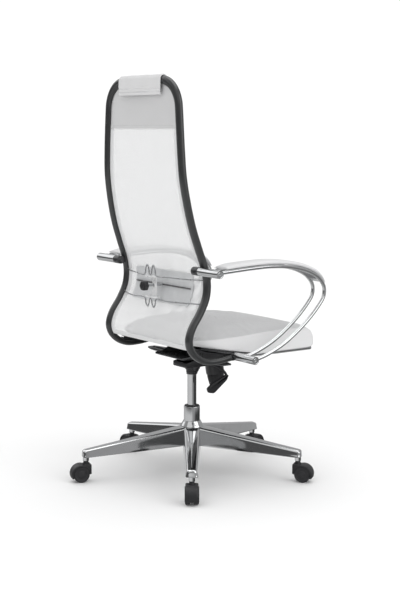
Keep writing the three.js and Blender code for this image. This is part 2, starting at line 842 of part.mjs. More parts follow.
// part of the rod line between two y values on the upper run, moved outwards by `rise`
function padEdge(rise) {
  const curve = spline(rodLine.map(([y, z]) => [0, y, z]));
  const picked = curve.getSpacedPoints(34).filter((p, i) => p.y < 110 && p.z > 600 && i < 21);
  return picked.map((p, i) => {
    const next = picked[Math.min(i + 1, picked.length - 1)];
    const last = picked[Math.max(i - 1, 0)];
    const length = Math.hypot(next.y - last.y, next.z - last.z);
    return [p.y + rise * (next.z - last.z) / length, p.z - rise * (next.y - last.y) / length];
  });
}

function makeArmPad(side) {
  const bottom = padEdge(rodRadius + 0.6);
  const top = padEdge(rodRadius + padThickness);
  return sideSolid([...bottom, ...top.reverse()],
    side * (rodInnerX - padOverhang - 2), side * (rodOuterX + padOverhang), 3);
}

function makePadPlate(side) {
  const front = (rise) => padEdge(rise).slice(-6, -1);
  return sideSolid([...front(-3), ...front(1).reverse()],
    side * (rodInnerX + rodRadius + gap), side * (rodOuterX - rodRadius - gap));
}

[['left', 1], ['right', -1]].forEach(([hand, side]) => {
  place(`side_bracket_${hand}`, makeSideBracket(side), blackSteel);
  place(`upper_arm_stub_${hand}`, makeUpperStub(side), blackSteel);
  place(`upper_arm_post_${hand}`, makeUpperPost(side), chrome);
  place(`lower_arm_post_${hand}`, makeLowerPost(side), chrome);
  place(`arm_rod_outer_${hand}`, makeArmRod(side * rodOuterX), chrome);
  place(`arm_rod_inner_${hand}`, makeArmRod(side * rodInnerX), chrome);
  place(`arm_pad_${hand}`, makeArmPad(side), whiteLeather);
  place(`arm_pad_plate_${hand}`, makePadPlate(side), greySteel);
  place(`seat_tube_${hand}`, swept(spline([
    [side * seatTubeX, blockFront - 2 * gap, seatTubeZ],
    [side * seatTubeX, -150, seatTubeZ],
    [side * seatTubeX, -292, seatTubeZ],
  ]), seatTubeRadius, seatTubeRadius, 10, 2), chrome);
});

// ---- lumbar support ---------------------------------------------------------------------------

place('lumbar_plate', common(
  sideSolid(sideBand(plateBottom, plateTop, plateThickness, 10, plateOffset), -plateHalfWidth, plateHalfWidth),
  box(-plateHalfWidth, plateHalfWidth, 0, 300, plateBottom - 30, plateTop + 30),
), frostedPlastic);

const plateBackY = meshWaistY + plateOffset + plateThickness / 2;
const barY = plateBackY + 3.5;
place('lumbar_bar', rodAlongX(2.4, -lumbarBarHalfLength, lumbarBarHalfLength, barY, lumbarScrewZ, 8), blackSteel);

const bracketY = 134;
place('lumbar_bracket', cut(
  join(
    box(-11, 11, bracketY, bracketY + 3, lowerWireZ + 2.4, upperWireZ - 2.4),
    box(-30, 30, bracketY, wireCentreY + 2, upperWireZ - 5.4, upperWireZ - 2.4),
    box(-30, 30, bracketY, wireCentreY + 2, lowerWireZ + 2.4, lowerWireZ + 5.4),
  ),
  rod(4 + gap, bracketY - 5, bracketY + 8).rotateX(-Math.PI / 2).translate(0, 0, lumbarScrewZ),
), chrome);

const screwFront = barY + 2.4 + gap;
place('lumbar_screw', rod(4, screwFront, 162, 12).rotateX(-Math.PI / 2).translate(0, 0, lumbarScrewZ), steel);

function makeLumbarKnob() {
  const lobes = 6;
  const points = Array.from({ length: lobes * 5 }, (_, i) => {
    const angle = 2 * Math.PI * i / (lobes * 5);
    const radius = lumbarKnobRadius - 1 + Math.cos(lobes * angle);
    return [radius * Math.cos(angle), radius * Math.sin(angle)];
  });
  return frontSolid(points, 162 + gap, 181).translate(0, 0, lumbarScrewZ);
}

place('lumbar_knob', makeLumbarKnob(), blackPlastic);

// a wire that hooks into both side tubes and rises into two hairpin loops behind the plate
function makeLumbarWire(hookY, hookZ, loopHeight) {
  const hookX = halfWidthAt(hookZ) - tubeHalfWidth - gap - 0.4;
  const behind = wireCentreY;
  const up = Math.sign(loopHeight);
  const half = [
    [hookX, hookY, hookZ],
    [plateHalfWidth, hookY + 24, hookZ],
    [90, hookY + 39, hookZ],
    [34, behind, hookZ],
    [27, behind, hookZ + 4 * up],
    [25, behind, hookZ + loopHeight * 0.6],
    [16, behind, hookZ + loopHeight],
    [8, behind, hookZ + loopHeight * 0.6],
    [5.5, behind, hookZ + 5 * up],
  ];
  const points = [...half, [0, behind, hookZ + 1 * up], ...half.map(([x, y, z]) => [-x, y, z]).reverse()];
  return swept(spline(points), wireRadius, wireRadius, 5, 60);
}

place('lumbar_wire_upper', makeLumbarWire(101, upperWireZ, 31), steel);
place('lumbar_wire_lower', makeLumbarWire(114, lowerWireZ, -26), steel);

// ---- the origin goes to the floor, at the centre of the footprint ------------------------------

const bounds = new THREE.Box3().setFromObject(chair);
chair.position.set(-(bounds.min.x + bounds.max.x) / 2, -(bounds.min.y + bounds.max.y) / 2, 0);

export default chair;
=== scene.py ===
"""The visible pieces of a mesh-back swivel office chair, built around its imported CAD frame."""

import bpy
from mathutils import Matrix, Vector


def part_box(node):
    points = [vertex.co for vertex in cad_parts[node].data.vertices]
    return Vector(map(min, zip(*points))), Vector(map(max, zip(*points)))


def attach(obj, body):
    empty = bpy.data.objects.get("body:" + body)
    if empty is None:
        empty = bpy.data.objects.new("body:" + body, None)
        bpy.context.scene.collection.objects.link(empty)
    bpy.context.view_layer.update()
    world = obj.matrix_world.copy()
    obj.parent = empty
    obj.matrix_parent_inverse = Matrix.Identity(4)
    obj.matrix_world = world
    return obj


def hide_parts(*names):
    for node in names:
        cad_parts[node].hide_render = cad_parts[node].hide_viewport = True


bl_info = {
    "name": "Swivel Office Chair",
    "version": (1, 0, 0),
    "blender": (4, 5, 0),
    "location": "View3D > Sidebar > Chair",
    "description": "Builds the frame, seat, arms, base and studio of a mesh-back swivel chair",
    "category": "Object",
}

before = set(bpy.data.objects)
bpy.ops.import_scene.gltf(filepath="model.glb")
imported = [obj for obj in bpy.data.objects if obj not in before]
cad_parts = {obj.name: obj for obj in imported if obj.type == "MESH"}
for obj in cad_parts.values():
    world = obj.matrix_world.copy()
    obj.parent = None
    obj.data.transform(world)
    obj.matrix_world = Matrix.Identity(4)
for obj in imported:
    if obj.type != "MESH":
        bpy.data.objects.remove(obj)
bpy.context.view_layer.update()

import math

import bmesh
import bpy
import numpy as np
from bpy.props import FloatProperty, FloatVectorProperty, PointerProperty
from mathutils import Matrix, Vector, noise

# Shapes are drawn in millimetres from the column's axis at floor level, +X to the sitter's left
# and -Y to the front, and are placed into the frame in metres.
MM = 0.001
AXIS = 0.01  # radius of the points on a turned piece's axis, so that its end faces keep their shape


def column_axis():
    low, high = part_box("column_tube")
    return Vector(((low.x + high.x) / 2, (low.y + high.y) / 2, 0))


COLUMN = column_axis()


def span(node):
    """Lowest and highest corner of a CAD node, in millimetres from the column's axis."""
    return [(corner - COLUMN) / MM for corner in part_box(node)]


SIDES = (("left", 1), ("right", -1))


# ---- properties ------------------------------------------------------------------------------

def length(name, description, default):
    return FloatProperty(name=name, description=description, default=default, unit="LENGTH", precision=4)


def colour(name, description, *default):
    return FloatVectorProperty(
        name=name, description=description, default=default, subtype="COLOR", size=3, min=0, max=1)


class ChairSizes(bpy.types.PropertyGroup):
    """Sizes that a user would change, in metres"""
    tube_half_width: length("Tube half width", "Half the frame tube across the back", 0.013)
    tube_half_depth: length("Tube half depth", "Half the frame tube through the back", 0.00975)
    keder_slot: length("Fabric slot", "Width of the slot that holds the mesh", 0.003)
    leg_wall: length("Leg wall", "Thickness of the base legs", 0.003)
    leg_edge: length("Leg edge radius", "Rounding along the top of the base legs", 0.007)
    rod_radius: length("Arm rod radius", "Radius of the bent arm rods", 0.0056)
    post_radius: length("Arm post radius", "Radius of the arm posts", 0.012)
    pad_thickness: length("Arm pad thickness", "Height of an arm pad above its rods", 0.0145)
    wire_radius: length("Wire radius", "Radius of the lumbar wires", 0.002)
    hem_width: length("Hem width", "Width of the doubled mesh along the tubes", 0.017)
    seat_swell: length("Seat swell", "How far the seat cover may swell over its foam", 0.006)
    headrest_swell: length("Headrest swell", "How far the head cushion may swell", 0.007)
    stitch_length: length("Stitch length", "Length of one stitch", 0.0042)
    stitch_gap: length("Stitch gap", "Gap between two stitches", 0.0016)
    wheel_radius: length("Caster wheel radius", "Radius of the caster wheels", 0.025)


class ChairColours(bpy.types.PropertyGroup):
    """Colours of the finishes"""
    leather: colour("Leatherette", "White leatherette of the headrest, border and pads", 0.70, 0.70, 0.705)
    fabric: colour("Seat fabric", "Woven cover of the seat", 0.60, 0.602, 0.608)
    mesh: colour("Back mesh", "Threads of the stretched back", 0.88, 0.885, 0.89)
    lacquer: colour("Frame lacquer", "Satin lacquer of the tube frame", 0.026, 0.027, 0.028)
    plastic: colour("Black plastic", "Moulded hoods, knobs and lever", 0.016, 0.016, 0.018)
    enamel: colour("Black enamel", "Painted steel of the mechanism and arm stubs", 0.020, 0.020, 0.022)
    grey_paint: colour("Grey paint", "Painted carrier plate", 0.13, 0.133, 0.138)
    chrome: colour("Chrome", "Polished chrome plating", 0.80, 0.81, 0.815)
    steel: colour("Bare steel", "Wires, pins and screws", 0.55, 0.56, 0.57)
    frosted: colour("Frosted plastic", "Translucent lumbar plate", 0.66, 0.67, 0.68)
    nylon: colour("Wheel nylon", "Treads of the caster wheels", 0.022, 0.022, 0.024)
    floor: colour("Floor", "Plain studio floor", 0.94, 0.94, 0.94)


def sizes():
    return bpy.context.scene.chair_sizes


def colours():
    return bpy.context.scene.chair_colours


# ---- lines and outlines ----------------------------------------------------------------------

def spaced(points, step, closed=False):
    """Points a given step apart along a polyline."""
    p = np.array(points, float)
    if closed:
        p = np.vstack([p, p[:1]])
    run = np.concatenate([[0], np.cumsum(np.linalg.norm(np.diff(p, axis=0), axis=1))])
    count = max(2, int(round(run[-1] / step)) + 1)
    at = np.linspace(0, run[-1], count)
    if closed:
        at = at[:-1]
    return np.stack([np.interp(at, run, p[:, k]) for k in range(p.shape[1])], axis=1)


def smooth_line(knots, step):
    """A centripetal spline through knots, as points a given step apart."""
    k = np.array(knots, float)
    k = np.vstack([2 * k[0] - k[1], k, 2 * k[-1] - k[-2]])
    fine = []
    for p0, p1, p2, p3 in zip(k, k[1:], k[2:], k[3:]):
        t1 = np.linalg.norm(p1 - p0) ** 0.5
        t2 = t1 + np.linalg.norm(p2 - p1) ** 0.5
        t3 = t2 + np.linalg.norm(p3 - p2) ** 0.5
        for t in np.linspace(t1, t2, 16, endpoint=False):
            a1 = (t1 - t) / t1 * p0 + t / t1 * p1
            a2 = (t2 - t) / (t2 - t1) * p1 + (t - t1) / (t2 - t1) * p2
            a3 = (t3 - t) / (t3 - t2) * p2 + (t - t2) / (t3 - t2) * p3
            b1 = (t2 - t) / t2 * a1 + t / t2 * a2
            b2 = (t3 - t) / (t3 - t1) * a2 + (t - t1) / (t3 - t1) * a3
            fine.append((t2 - t) / (t2 - t1) * b1 + (t - t1) / (t2 - t1) * b2)
    return spaced(fine + [k[-2]], step)


def rounded(corners, radius, steps=4, closed=True):
    """A polyline with its corners rounded; radius is one number or one for each corner."""
    p = [np.array(c, float) for c in corners]
    count = len(p)
    radii = radius if hasattr(radius, "__len__") else [radius] * count
    out = []
    for i, here in enumerate(p):
        if radii[i] == 0 or (not closed and i in (0, count - 1)):
            out.append(here)
            continue
        last, following = p[i - 1], p[(i + 1) % count]
        back = np.linalg.norm(last - here)
        ahead = np.linalg.norm(following - here)
        a = here + (last - here) * min(radii[i], 0.48 * back) / back
        b = here + (following - here) * min(radii[i], 0.48 * ahead) / ahead
        for t in np.linspace(0, 1, steps + 1):
            out.append((1 - t) ** 2 * a + 2 * t * (1 - t) * here + t ** 2 * b)
    return np.array(out)


def arc(cx, cy, radius, start, end, steps):
    angles = np.radians(np.linspace(start, end, steps + 1))
    return [(cx + radius * math.cos(a), cy + radius * math.sin(a)) for a in angles]


def rectangle(x0, x1, y0, y1):
    return [(x0, y0), (x1, y0), (x1, y1), (x0, y1)]


def inset(outline, amount):
    """An outline moved inwards by amount along its corner normals."""
    p = np.array(outline, float)
    ahead = np.roll(p, -1, axis=0) - p
    ahead /= np.maximum(np.linalg.norm(ahead, axis=1, keepdims=True), 1e-9)
    behind = np.roll(ahead, 1, axis=0)
    turn = np.stack([-(ahead + behind)[:, 1], (ahead + behind)[:, 0]], axis=1)
    turn /= np.maximum(np.linalg.norm(turn, axis=1, keepdims=True), 1e-9)
    area = np.sum(p[:, 0] * np.roll(p[:, 1], -1) - p[:, 1] * np.roll(p[:, 0], -1))
    return p + turn * amount * (1 if area > 0 else -1)


# ---- skins -----------------------------------------------------------------------------------

def loft(rings, ends=True, around=True, closed=False):
    """Points and faces of a skin through rings that have the same number of points."""
    count, size = len(rings), len(rings[0])
    points = np.concatenate([np.array(r, float) for r in rings])
    faces = []
    for i in range(count if closed else count - 1):
        a, b = i * size, (i + 1) % count * size
        for j in range(size if around else size - 1):
            k = (j + 1) % size
            faces.append((a + j, a + k, b + k, b + j))
    if ends and not closed:
        faces.append(tuple(range(size))[::-1])
        faces.append(tuple((count - 1) * size + j for j in range(size)))
    return points, faces


def turned(profile, segments=40, closed=False):
    """An (r, z) profile turned about the Z axis."""
    angles = np.linspace(0, 2 * math.pi, segments, endpoint=False)
    rings = [np.stack([r * np.cos(angles), r * np.sin(angles), np.full(segments, float(z))], axis=1)
             for r, z in profile]
    return loft(rings, closed=closed)


def turned_ring(corners, edge, steps, segments):
    """A hollow turned piece; its (r, z) corners run once round the section."""
    return turned(rounded(corners, edge, steps), segments, closed=True)


def turned_solid(corners, edge, steps, segments):
    """A solid turned piece; its (r, z) corners run from the axis out and back to the axis."""
    return turned(rounded(corners, edge, steps, closed=False), segments)


def round_rod(radius, z0, z1, edge=0.8, segments=32):
    return turned_solid([(AXIS, z0), (radius, z0), (radius, z1), (AXIS, z1)], edge, 3, segments)


def sweep(path, section, across, scale=None):
    """A (u, v) section carried along a path; u starts along the direction given by across."""
    path = np.array(path, float)
    tangents = np.gradient(path, axis=0)
    tangents /= np.linalg.norm(tangents, axis=1, keepdims=True)
    u = np.array(across, float)
    section = np.array(section, float)
    rings = []
    for i, (p, t) in enumerate(zip(path, tangents)):
        u = u - t * u.dot(t)
        u /= np.linalg.norm(u)
        v = np.cross(t, u)
        s = section if scale is None else section * np.array(scale(i / (len(path) - 1)))
        rings.append(p + s[:, :1] * u + s[:, 1:] * v)
    return loft(rings)


def circle(radius, sides=14):
    angles = np.linspace(0, 2 * math.pi, sides, endpoint=False)
    return np.stack([radius * np.cos(angles), radius * np.sin(angles)], axis=1)


def slab(outline, low, high, plane, edge=1.2, steps=3):
    """A plate of the given outline with rounded edges; plane names the outline's two axes."""
    low, high = min(low, high), max(low, high)
    edge = min(edge, (high - low) / 2)
    levels = [(edge * (1 - math.sin(a)), low + edge * (1 - math.cos(a)))
              for a in np.linspace(0, math.pi / 2, steps + 1)]
    levels += [(d, low + high - t) for d, t in reversed(levels)]
    rings = []
    for shrink, at in levels:
        flat = inset(outline, shrink)
        ring = np.full((len(flat), 3), float(at))
        first, second = {"yz": (1, 2), "xz": (0, 2), "xy": (0, 1)}[plane]
        ring[:, first], ring[:, second] = flat[:, 0], flat[:, 1]
        rings.append(ring)
    return loft(rings)


def together(*skins):
    points, faces, start = [], [], 0
    for p, f in skins:
        points.append(p)
        faces += [tuple(i + start for i in face) for face in f]
        start += len(p)
    return np.concatenate(points), faces


def moved(skin, matrix):
    points, faces = skin
    m = np.array(matrix, float)
    return points @ m[:3, :3].T + m[:3, 3], faces


def along_x(skin, y, z):
    """A skin drawn up the Z axis, laid along X through (y, z)."""
    return moved(skin, Matrix.Translation((0, y, z)) @ Matrix.Rotation(math.pi / 2, 4, "Y"))


def to_rear(x, y, z):
    """Places a skin drawn up the Z axis so that it starts at (x, y, z) and points to the rear."""
    return Matrix.Translation((x, y, z)) @ Matrix.Rotation(-math.pi / 2, 4, "X")


def dress(obj, material, body, nodes=()):
    obj.data.materials.append(material)
    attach(obj, body)
    if nodes:
        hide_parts(*nodes)
    return obj


def smooth_shaded(mesh):
    mesh.polygons.foreach_set("use_smooth", [True] * len(mesh.polygons))


def raw_object(name, skin, sharp=40, shell=True):
    """An object from points in millimetres; a shell gets all its faces turned outwards."""
    points, faces = skin
    mesh = bpy.data.meshes.new(name)
    mesh.from_pydata([tuple(p) for p in points * MM + np.array(COLUMN)], [], faces)
    if shell:
        work = bmesh.new()
        work.from_mesh(mesh)
        bmesh.ops.recalc_face_normals(work, faces=work.faces)
        work.to_mesh(mesh)
        work.free()
    smooth_shaded(mesh)
    if sharp:
        mesh.set_sharp_from_angle(angle=math.radians(sharp))
    obj = bpy.data.objects.new(name, mesh)
    bpy.context.scene.collection.objects.link(obj)
    return obj


def piece(name, skin, material, body, nodes=(), sharp=40):
    """A closed skin made into a piece that rides on a body and stands for CAD nodes."""
    return dress(raw_object(name, skin, sharp), material, body, nodes)


def thicken(obj, thickness, offset=0.0):
    solid = obj.modifiers.new("Thickness", "SOLIDIFY")
    solid.thickness = thickness
    solid.offset = offset
    solid.use_even_offset = True
    return obj


def applied(obj):
    """Replaces an object's mesh with the one its modifiers give."""
    graph = bpy.context.evaluated_depsgraph_get()
    mesh = bpy.data.meshes.new_from_object(obj.evaluated_get(graph))
    obj.modifiers.clear()
    obj.data = mesh
    return obj


def thin_sheet(name, points, across, thickness):
    """A sheet through rows of points, each row with as many points as across says."""
    faces = [(r * across + c, r * across + c + 1, (r + 1) * across + c + 1, (r + 1) * across + c)
             for r in range(len(points) // across - 1) for c in range(across - 1)]
    sheet = raw_object(name, (np.array(points), faces), sharp=0, shell=False)
    return applied(thicken(sheet, thickness))


def smooth_cover(obj):
    """Rounds off the facets of a swelled cover."""
    smooth_shaded(obj.data)
    smooth = obj.modifiers.new("Smooth cover", "SUBSURF")
    smooth.levels = smooth.render_levels = 1


def points_of(obj):
    """An object's points, in millimetres from the column's axis."""
    return (np.array([v.co for v in obj.data.vertices]) - np.array(COLUMN)) / MM


def swell(obj, pins, pressure, most, frames=20):
    """Blows a closed mesh up like a filled cover; pinned points stay and none moves beyond most."""
    rest = np.array([v.co for v in obj.data.vertices])
    group = obj.vertex_groups.new(name="pins")
    for index, weight in enumerate(pins):
        if weight > 0:
            group.add([index], float(weight), "REPLACE")
    cloth = obj.modifiers.new("Cover", "CLOTH")
    cloth.settings.quality = 5
    cloth.settings.mass = 0.3
    cloth.settings.tension_stiffness = 20
    cloth.settings.compression_stiffness = 20
    cloth.settings.shear_stiffness = 8
    cloth.settings.bending_stiffness = 1.5
    cloth.settings.vertex_group_mass = group.name
    cloth.settings.use_pressure = True
    cloth.settings.uniform_pressure_force = pressure
    cloth.settings.effector_weights.gravity = 0
    cloth.collision_settings.use_self_collision = False
    scene = bpy.context.scene
    for number in range(1, frames + 1):
        scene.frame_set(number)
    applied(obj)
    scene.frame_set(1)
    now = np.array([v.co for v in obj.data.vertices])
    shift = now - rest
    far = np.linalg.norm(shift, axis=1, keepdims=True)
    now = rest + shift * np.minimum(1, most / np.maximum(far, 1e-9))
    obj.data.vertices.foreach_set("co", now.astype(np.float32).ravel())
    obj.vertex_groups.clear()
    obj.data.update()
    return obj


def stitch_row(name, path, normals, lift=0.3, radius=0.42):
    """Short rounded threads along a seam line of the seat or back, standing out along normals."""
    s = sizes()
    run, gap = s.stitch_length / MM, s.stitch_gap / MM
    line = spaced(path, (run + gap) / 6)
    ups = np.stack([np.interp(np.linspace(0, 1, len(line)), np.linspace(0, 1, len(normals)),
                              np.array(normals)[:, k]) for k in range(3)], axis=1)
    skins = []
    for start in range(0, len(line) - 5, 6):
        part = line[start:start + 5].copy()
        rise = np.array([-0.2, 0.75, 1, 0.75, -0.2])[:, None] * lift
        part += ups[start:start + 5] * rise
        skins.append(sweep(part, circle(radius, 6), ups[start]))
    return piece(name, together(*skins), finish("thread"), "seat", sharp=0)


def rear_stitches(name, line, lift=0.25, radius=0.35):
    """A stitch row on a face that looks to the rear."""
    stitch_row(name, line, np.tile([0, 1, 0], (len(line), 1)), lift, radius)


def piping(name, line, radius, sides, across, step=4):
    """A cord covered in leather, along a seam."""
    piece(name, sweep(spaced(line, step), circle(radius, sides), across), finish("leather"), "seat",
          sharp=0)


# ---- shader groups ---------------------------------------------------------------------------

def add(tree, kind, inputs=None, **settings):
    """Adds a node, sets it up, and links or sets its inputs."""
    node = tree.nodes.new(kind)
    for key, value in settings.items():
        setattr(node, key, value)
    for key, value in (inputs or {}).items():
        if isinstance(value, bpy.types.NodeSocket):
            tree.links.new(value, node.inputs[key])
        else:
            node.inputs[key].default_value = value
    return node


def maths(tree, operation, a, b=0.0, c=0.0, clamp=False):
    node = add(tree, "ShaderNodeMath", operation=operation, use_clamp=clamp)
    for socket, value in zip(node.inputs, (a, b, c)):
        if isinstance(value, bpy.types.NodeSocket):
            tree.links.new(value, socket)
        else:
            socket.default_value = value
    return node.outputs[0]


def ranged(tree, value, low, high, new_low=0.0, new_high=1.0):
    node = add(tree, "ShaderNodeMapRange", {
        "Value": value, "From Min": low, "From Max": high, "To Min": new_low, "To Max": new_high})
    return node.outputs["Result"]


def new_group(name, inputs, outputs):
    """An empty shader group with float inputs and outputs; returns the tree and its two ends."""
    tree = bpy.data.node_groups.new(name, "ShaderNodeTree")
    for label, default in inputs:
        socket = tree.interface.new_socket(label, in_out="INPUT", socket_type="NodeSocketFloat")
        socket.default_value = default
    for label in outputs:
        tree.interface.new_socket(label, in_out="OUTPUT", socket_type="NodeSocketFloat")
    return tree, tree.nodes.new("NodeGroupInput"), tree.nodes.new("NodeGroupOutput")


def object_point(tree):
    return add(tree, "ShaderNodeTexCoord").outputs["Object"]


def noise_of(tree, point, scale, detail=3.0, roughness=0.55):
    return add(tree, "ShaderNodeTexNoise", {
        "Vector": point, "Scale": scale, "Detail": detail, "Roughness": roughness}).outputs["Fac"]


def make_leather_grain():
    """Pebbled grain with fine creases; Tone follows the pebbles."""
    tree, given, out = new_group("Leather Grain", [("Scale", 620.0)], ["Height", "Tone"])
    point = object_point(tree)
    cells = add(tree, "ShaderNodeTexVoronoi", {
        "Vector": point, "Scale": given.outputs["Scale"], "Smoothness": 0.6}, feature="SMOOTH_F1")
    creases = noise_of(tree, point, maths(tree, "MULTIPLY", given.outputs["Scale"], 0.28), 4.0)
    pebble = ranged(tree, cells.outputs["Distance"], 0.15, 0.75, 1.0, 0.0)
    tree.links.new(maths(tree, "MULTIPLY_ADD", creases, 0.6, pebble), out.inputs["Height"])
    broad = noise_of(tree, point, 9.0, 2.0)
    tree.links.new(maths(tree, "MULTIPLY_ADD", pebble, 0.25, maths(tree, "MULTIPLY", broad, 0.75)),
                   out.inputs["Tone"])
    return tree


def make_plain_weave():
    """Threads over and under in X and in the height or depth; Height, and Gap between threads."""
    tree, given, out = new_group(
        "Plain Weave", [("Across", 520.0), ("Along", 520.0), ("Slant", 0.0)], ["Height", "Gap"])
    parts = add(tree, "ShaderNodeSeparateXYZ", {0: object_point(tree)})
    rise = maths(tree, "MULTIPLY_ADD", parts.outputs["Y"], given.outputs["Slant"], parts.outputs["Z"])
    full = 2 * math.pi
    x = maths(tree, "MULTIPLY", maths(tree, "MULTIPLY", parts.outputs["X"], given.outputs["Across"]), full)
    z = maths(tree, "MULTIPLY", maths(tree, "MULTIPLY", rise, given.outputs["Along"]), full)
    a = maths(tree, "COSINE", x)
    b = maths(tree, "COSINE", z)
    tree.links.new(maths(tree, "MULTIPLY_ADD", a, b, maths(tree, "MULTIPLY", maths(tree, "ADD", a, b), 0.35)),
                   out.inputs["Height"])
    hole = maths(tree, "ADD", a, b)
    tree.links.new(ranged(tree, hole, 0.2, 1.1), out.inputs["Gap"])
    return tree


def make_fine_grain():
    """Moulded or sprayed surface; Height for bumps and Tone for roughness."""
    tree, given, out = new_group("Fine Grain", [("Scale", 900.0)], ["Height", "Tone"])
    point = object_point(tree)
    tree.links.new(noise_of(tree, point, given.outputs["Scale"], 2.0), out.inputs["Height"])
    tree.links.new(noise_of(tree, point, 26.0, 4.0), out.inputs["Tone"])
    return tree


def make_edge_wear():
    """Mask of rubbed edges, broken up by noise."""
    tree, given, out = new_group("Edge Wear", [("Amount", 0.5)], ["Mask"])
    point = object_point(tree)
    sharp = ranged(tree, add(tree, "ShaderNodeNewGeometry").outputs["Pointiness"], 0.53, 0.62)
    broken = ranged(tree, noise_of(tree, point, 70.0, 5.0, 0.7), 0.42, 0.66)
    tree.links.new(maths(tree, "MULTIPLY", maths(tree, "MULTIPLY", sharp, broken), given.outputs["Amount"]),
                   out.inputs["Mask"])
    return tree


def make_dust():
    """Mask of light dust on faces that look up."""
    tree, given, out = new_group("Dust", [("Amount", 0.2)], ["Mask"])
    normal = add(tree, "ShaderNodeSeparateXYZ", {0: add(tree, "ShaderNodeNewGeometry").outputs["Normal"]})
    up = ranged(tree, normal.outputs["Z"], 0.35, 1.0)
    cloud = ranged(tree, noise_of(tree, object_point(tree), 34.0, 6.0, 0.65), 0.4, 0.75)
    tree.links.new(maths(tree, "MULTIPLY", maths(tree, "MULTIPLY", up, cloud), given.outputs["Amount"]),
                   out.inputs["Mask"])
    return tree


def make_smudges():
    """Faint handling marks on polished metal, as a change of roughness."""
    tree, given, out = new_group("Smudges", [("Least", 0.05), ("Most", 0.16)], ["Roughness", "Tone"])
    point = object_point(tree)
    cloud = ranged(tree, noise_of(tree, point, 14.0, 6.0, 0.62), 0.36, 0.72)
    rough = add(tree, "ShaderNodeMapRange", {
        "Value": cloud, "To Min": given.outputs["Least"], "To Max": given.outputs["Most"]})
    tree.links.new(rough.outputs["Result"], out.inputs["Roughness"])
    tree.links.new(cloud, out.inputs["Tone"])
    return tree


GROUP_MAKERS = {
    "Leather Grain": make_leather_grain,
    "Plain Weave": make_plain_weave,
    "Fine Grain": make_fine_grain,
    "Edge Wear": make_edge_wear,
    "Dust": make_dust,
    "Smudges": make_smudges,
}


def effect(tree, name, **values):
    """Places one of the shared shader groups in a material."""
    group = bpy.data.node_groups.get(name) or GROUP_MAKERS[name]()
    node = add(tree, "ShaderNodeGroup", node_tree=group)
    for key, value in values.items():
        node.inputs[key].default_value = value
    return node.outputs


# ---- materials -------------------------------------------------------------------------------

def bare_material(name, base, roughness, metallic=0.0, **sockets):
    material = bpy.data.materials.new(name)
    material.use_nodes = True
    material.diffuse_color = (*base, 1)
    tree = material.node_tree
    shader = tree.nodes["Principled BSDF"]
    shader.inputs["Base Color"].default_value = (*base, 1)
    shader.inputs["Roughness"].default_value = roughness
    shader.inputs["Metallic"].default_value = metallic
    for key, value in sockets.items():
        shader.inputs[key.replace("_", " ")].default_value = value
    return material, tree, shader


def mixed(tree, factor, a, b):
    node = add(tree, "ShaderNodeMix", data_type="RGBA", clamp_factor=True)
    tree.links.new(factor, node.inputs["Factor"])
    for socket, value in ((node.inputs[6], a), (node.inputs[7], b)):
        if isinstance(value, bpy.types.NodeSocket):
            tree.links.new(value, socket)
        else:
            socket.default_value = (*value, 1)
    return node.outputs[2]


def shaded(base, factor):
    return tuple(min(1.0, c * factor) for c in base)


def bump(tree, shader, height, strength, distance):
    node = add(tree, "ShaderNodeBump", {"Strength": strength, "Distance": distance, "Height": height})
    tree.links.new(node.outputs["Normal"], shader.inputs["Normal"])


def leather(name, base, scale=620.0, depth=0.5):
    material, tree, shader = bare_material(name, base, 0.5, Specular_IOR_Level=0.4)
    grain = effect(tree, "Leather Grain", Scale=scale)
    tone = mixed(tree, grain["Tone"], shaded(base, 0.93), shaded(base, 1.04))
    dust = effect(tree, "Dust", Amount=0.12)
    tree.links.new(mixed(tree, dust["Mask"], tone, shaded(base, 0.86)), shader.inputs["Base Color"])
    tree.links.new(ranged(tree, grain["Height"], 0.2, 1.4, 0.6, 0.44), shader.inputs["Roughness"])
    bump(tree, shader, grain["Height"], depth, 0.00022)
    return material


def seat_weave(name, base):
    material, tree, shader = bare_material(
        name, base, 0.85, Sheen_Weight=0.25, Sheen_Roughness=0.5, Specular_IOR_Level=0.2)
    weave = effect(tree, "Plain Weave", Across=430.0, Along=430.0, Slant=1.0)
    fibres = effect(tree, "Fine Grain", Scale=1500.0)
    thread = mixed(tree, fibres["Tone"], shaded(base, 0.93), shaded(base, 1.06))
    tree.links.new(mixed(tree, weave["Gap"], thread, shaded(base, 0.62)), shader.inputs["Base Color"])
    tree.links.new(ranged(tree, fibres["Height"], 0.3, 0.7, 0.78, 0.92), shader.inputs["Roughness"])
    bump(tree, shader, maths(tree, "MULTIPLY_ADD", fibres["Height"], 0.3, weave["Height"]), 0.7, 0.0004)
    return material


def back_weave(name, base, across, along, open_share, thread_alpha):
    """See-through stretched mesh; open_share is how clear the gaps are."""
    material, tree, shader = bare_material(
        name, base, 0.7, Sheen_Weight=0.15, Specular_IOR_Level=0.25)
    weave = effect(tree, "Plain Weave", Across=across, Along=along, Slant=0.0)
    fibres = effect(tree, "Fine Grain", Scale=1200.0)
    thread = mixed(tree, fibres["Tone"], shaded(base, 0.95), shaded(base, 1.04))
    tree.links.new(mixed(tree, weave["Gap"], thread, shaded(base, 0.9)), shader.inputs["Base Color"])
    tree.links.new(ranged(tree, fibres["Height"], 0.3, 0.7, 0.62, 0.8), shader.inputs["Roughness"])
    if open_share > 0:
        tree.links.new(ranged(tree, weave["Gap"], 0.0, 1.0, thread_alpha, 1 - open_share),
                       shader.inputs["Alpha"])
    bump(tree, shader, weave["Height"], 0.6, 0.0003)
    return material


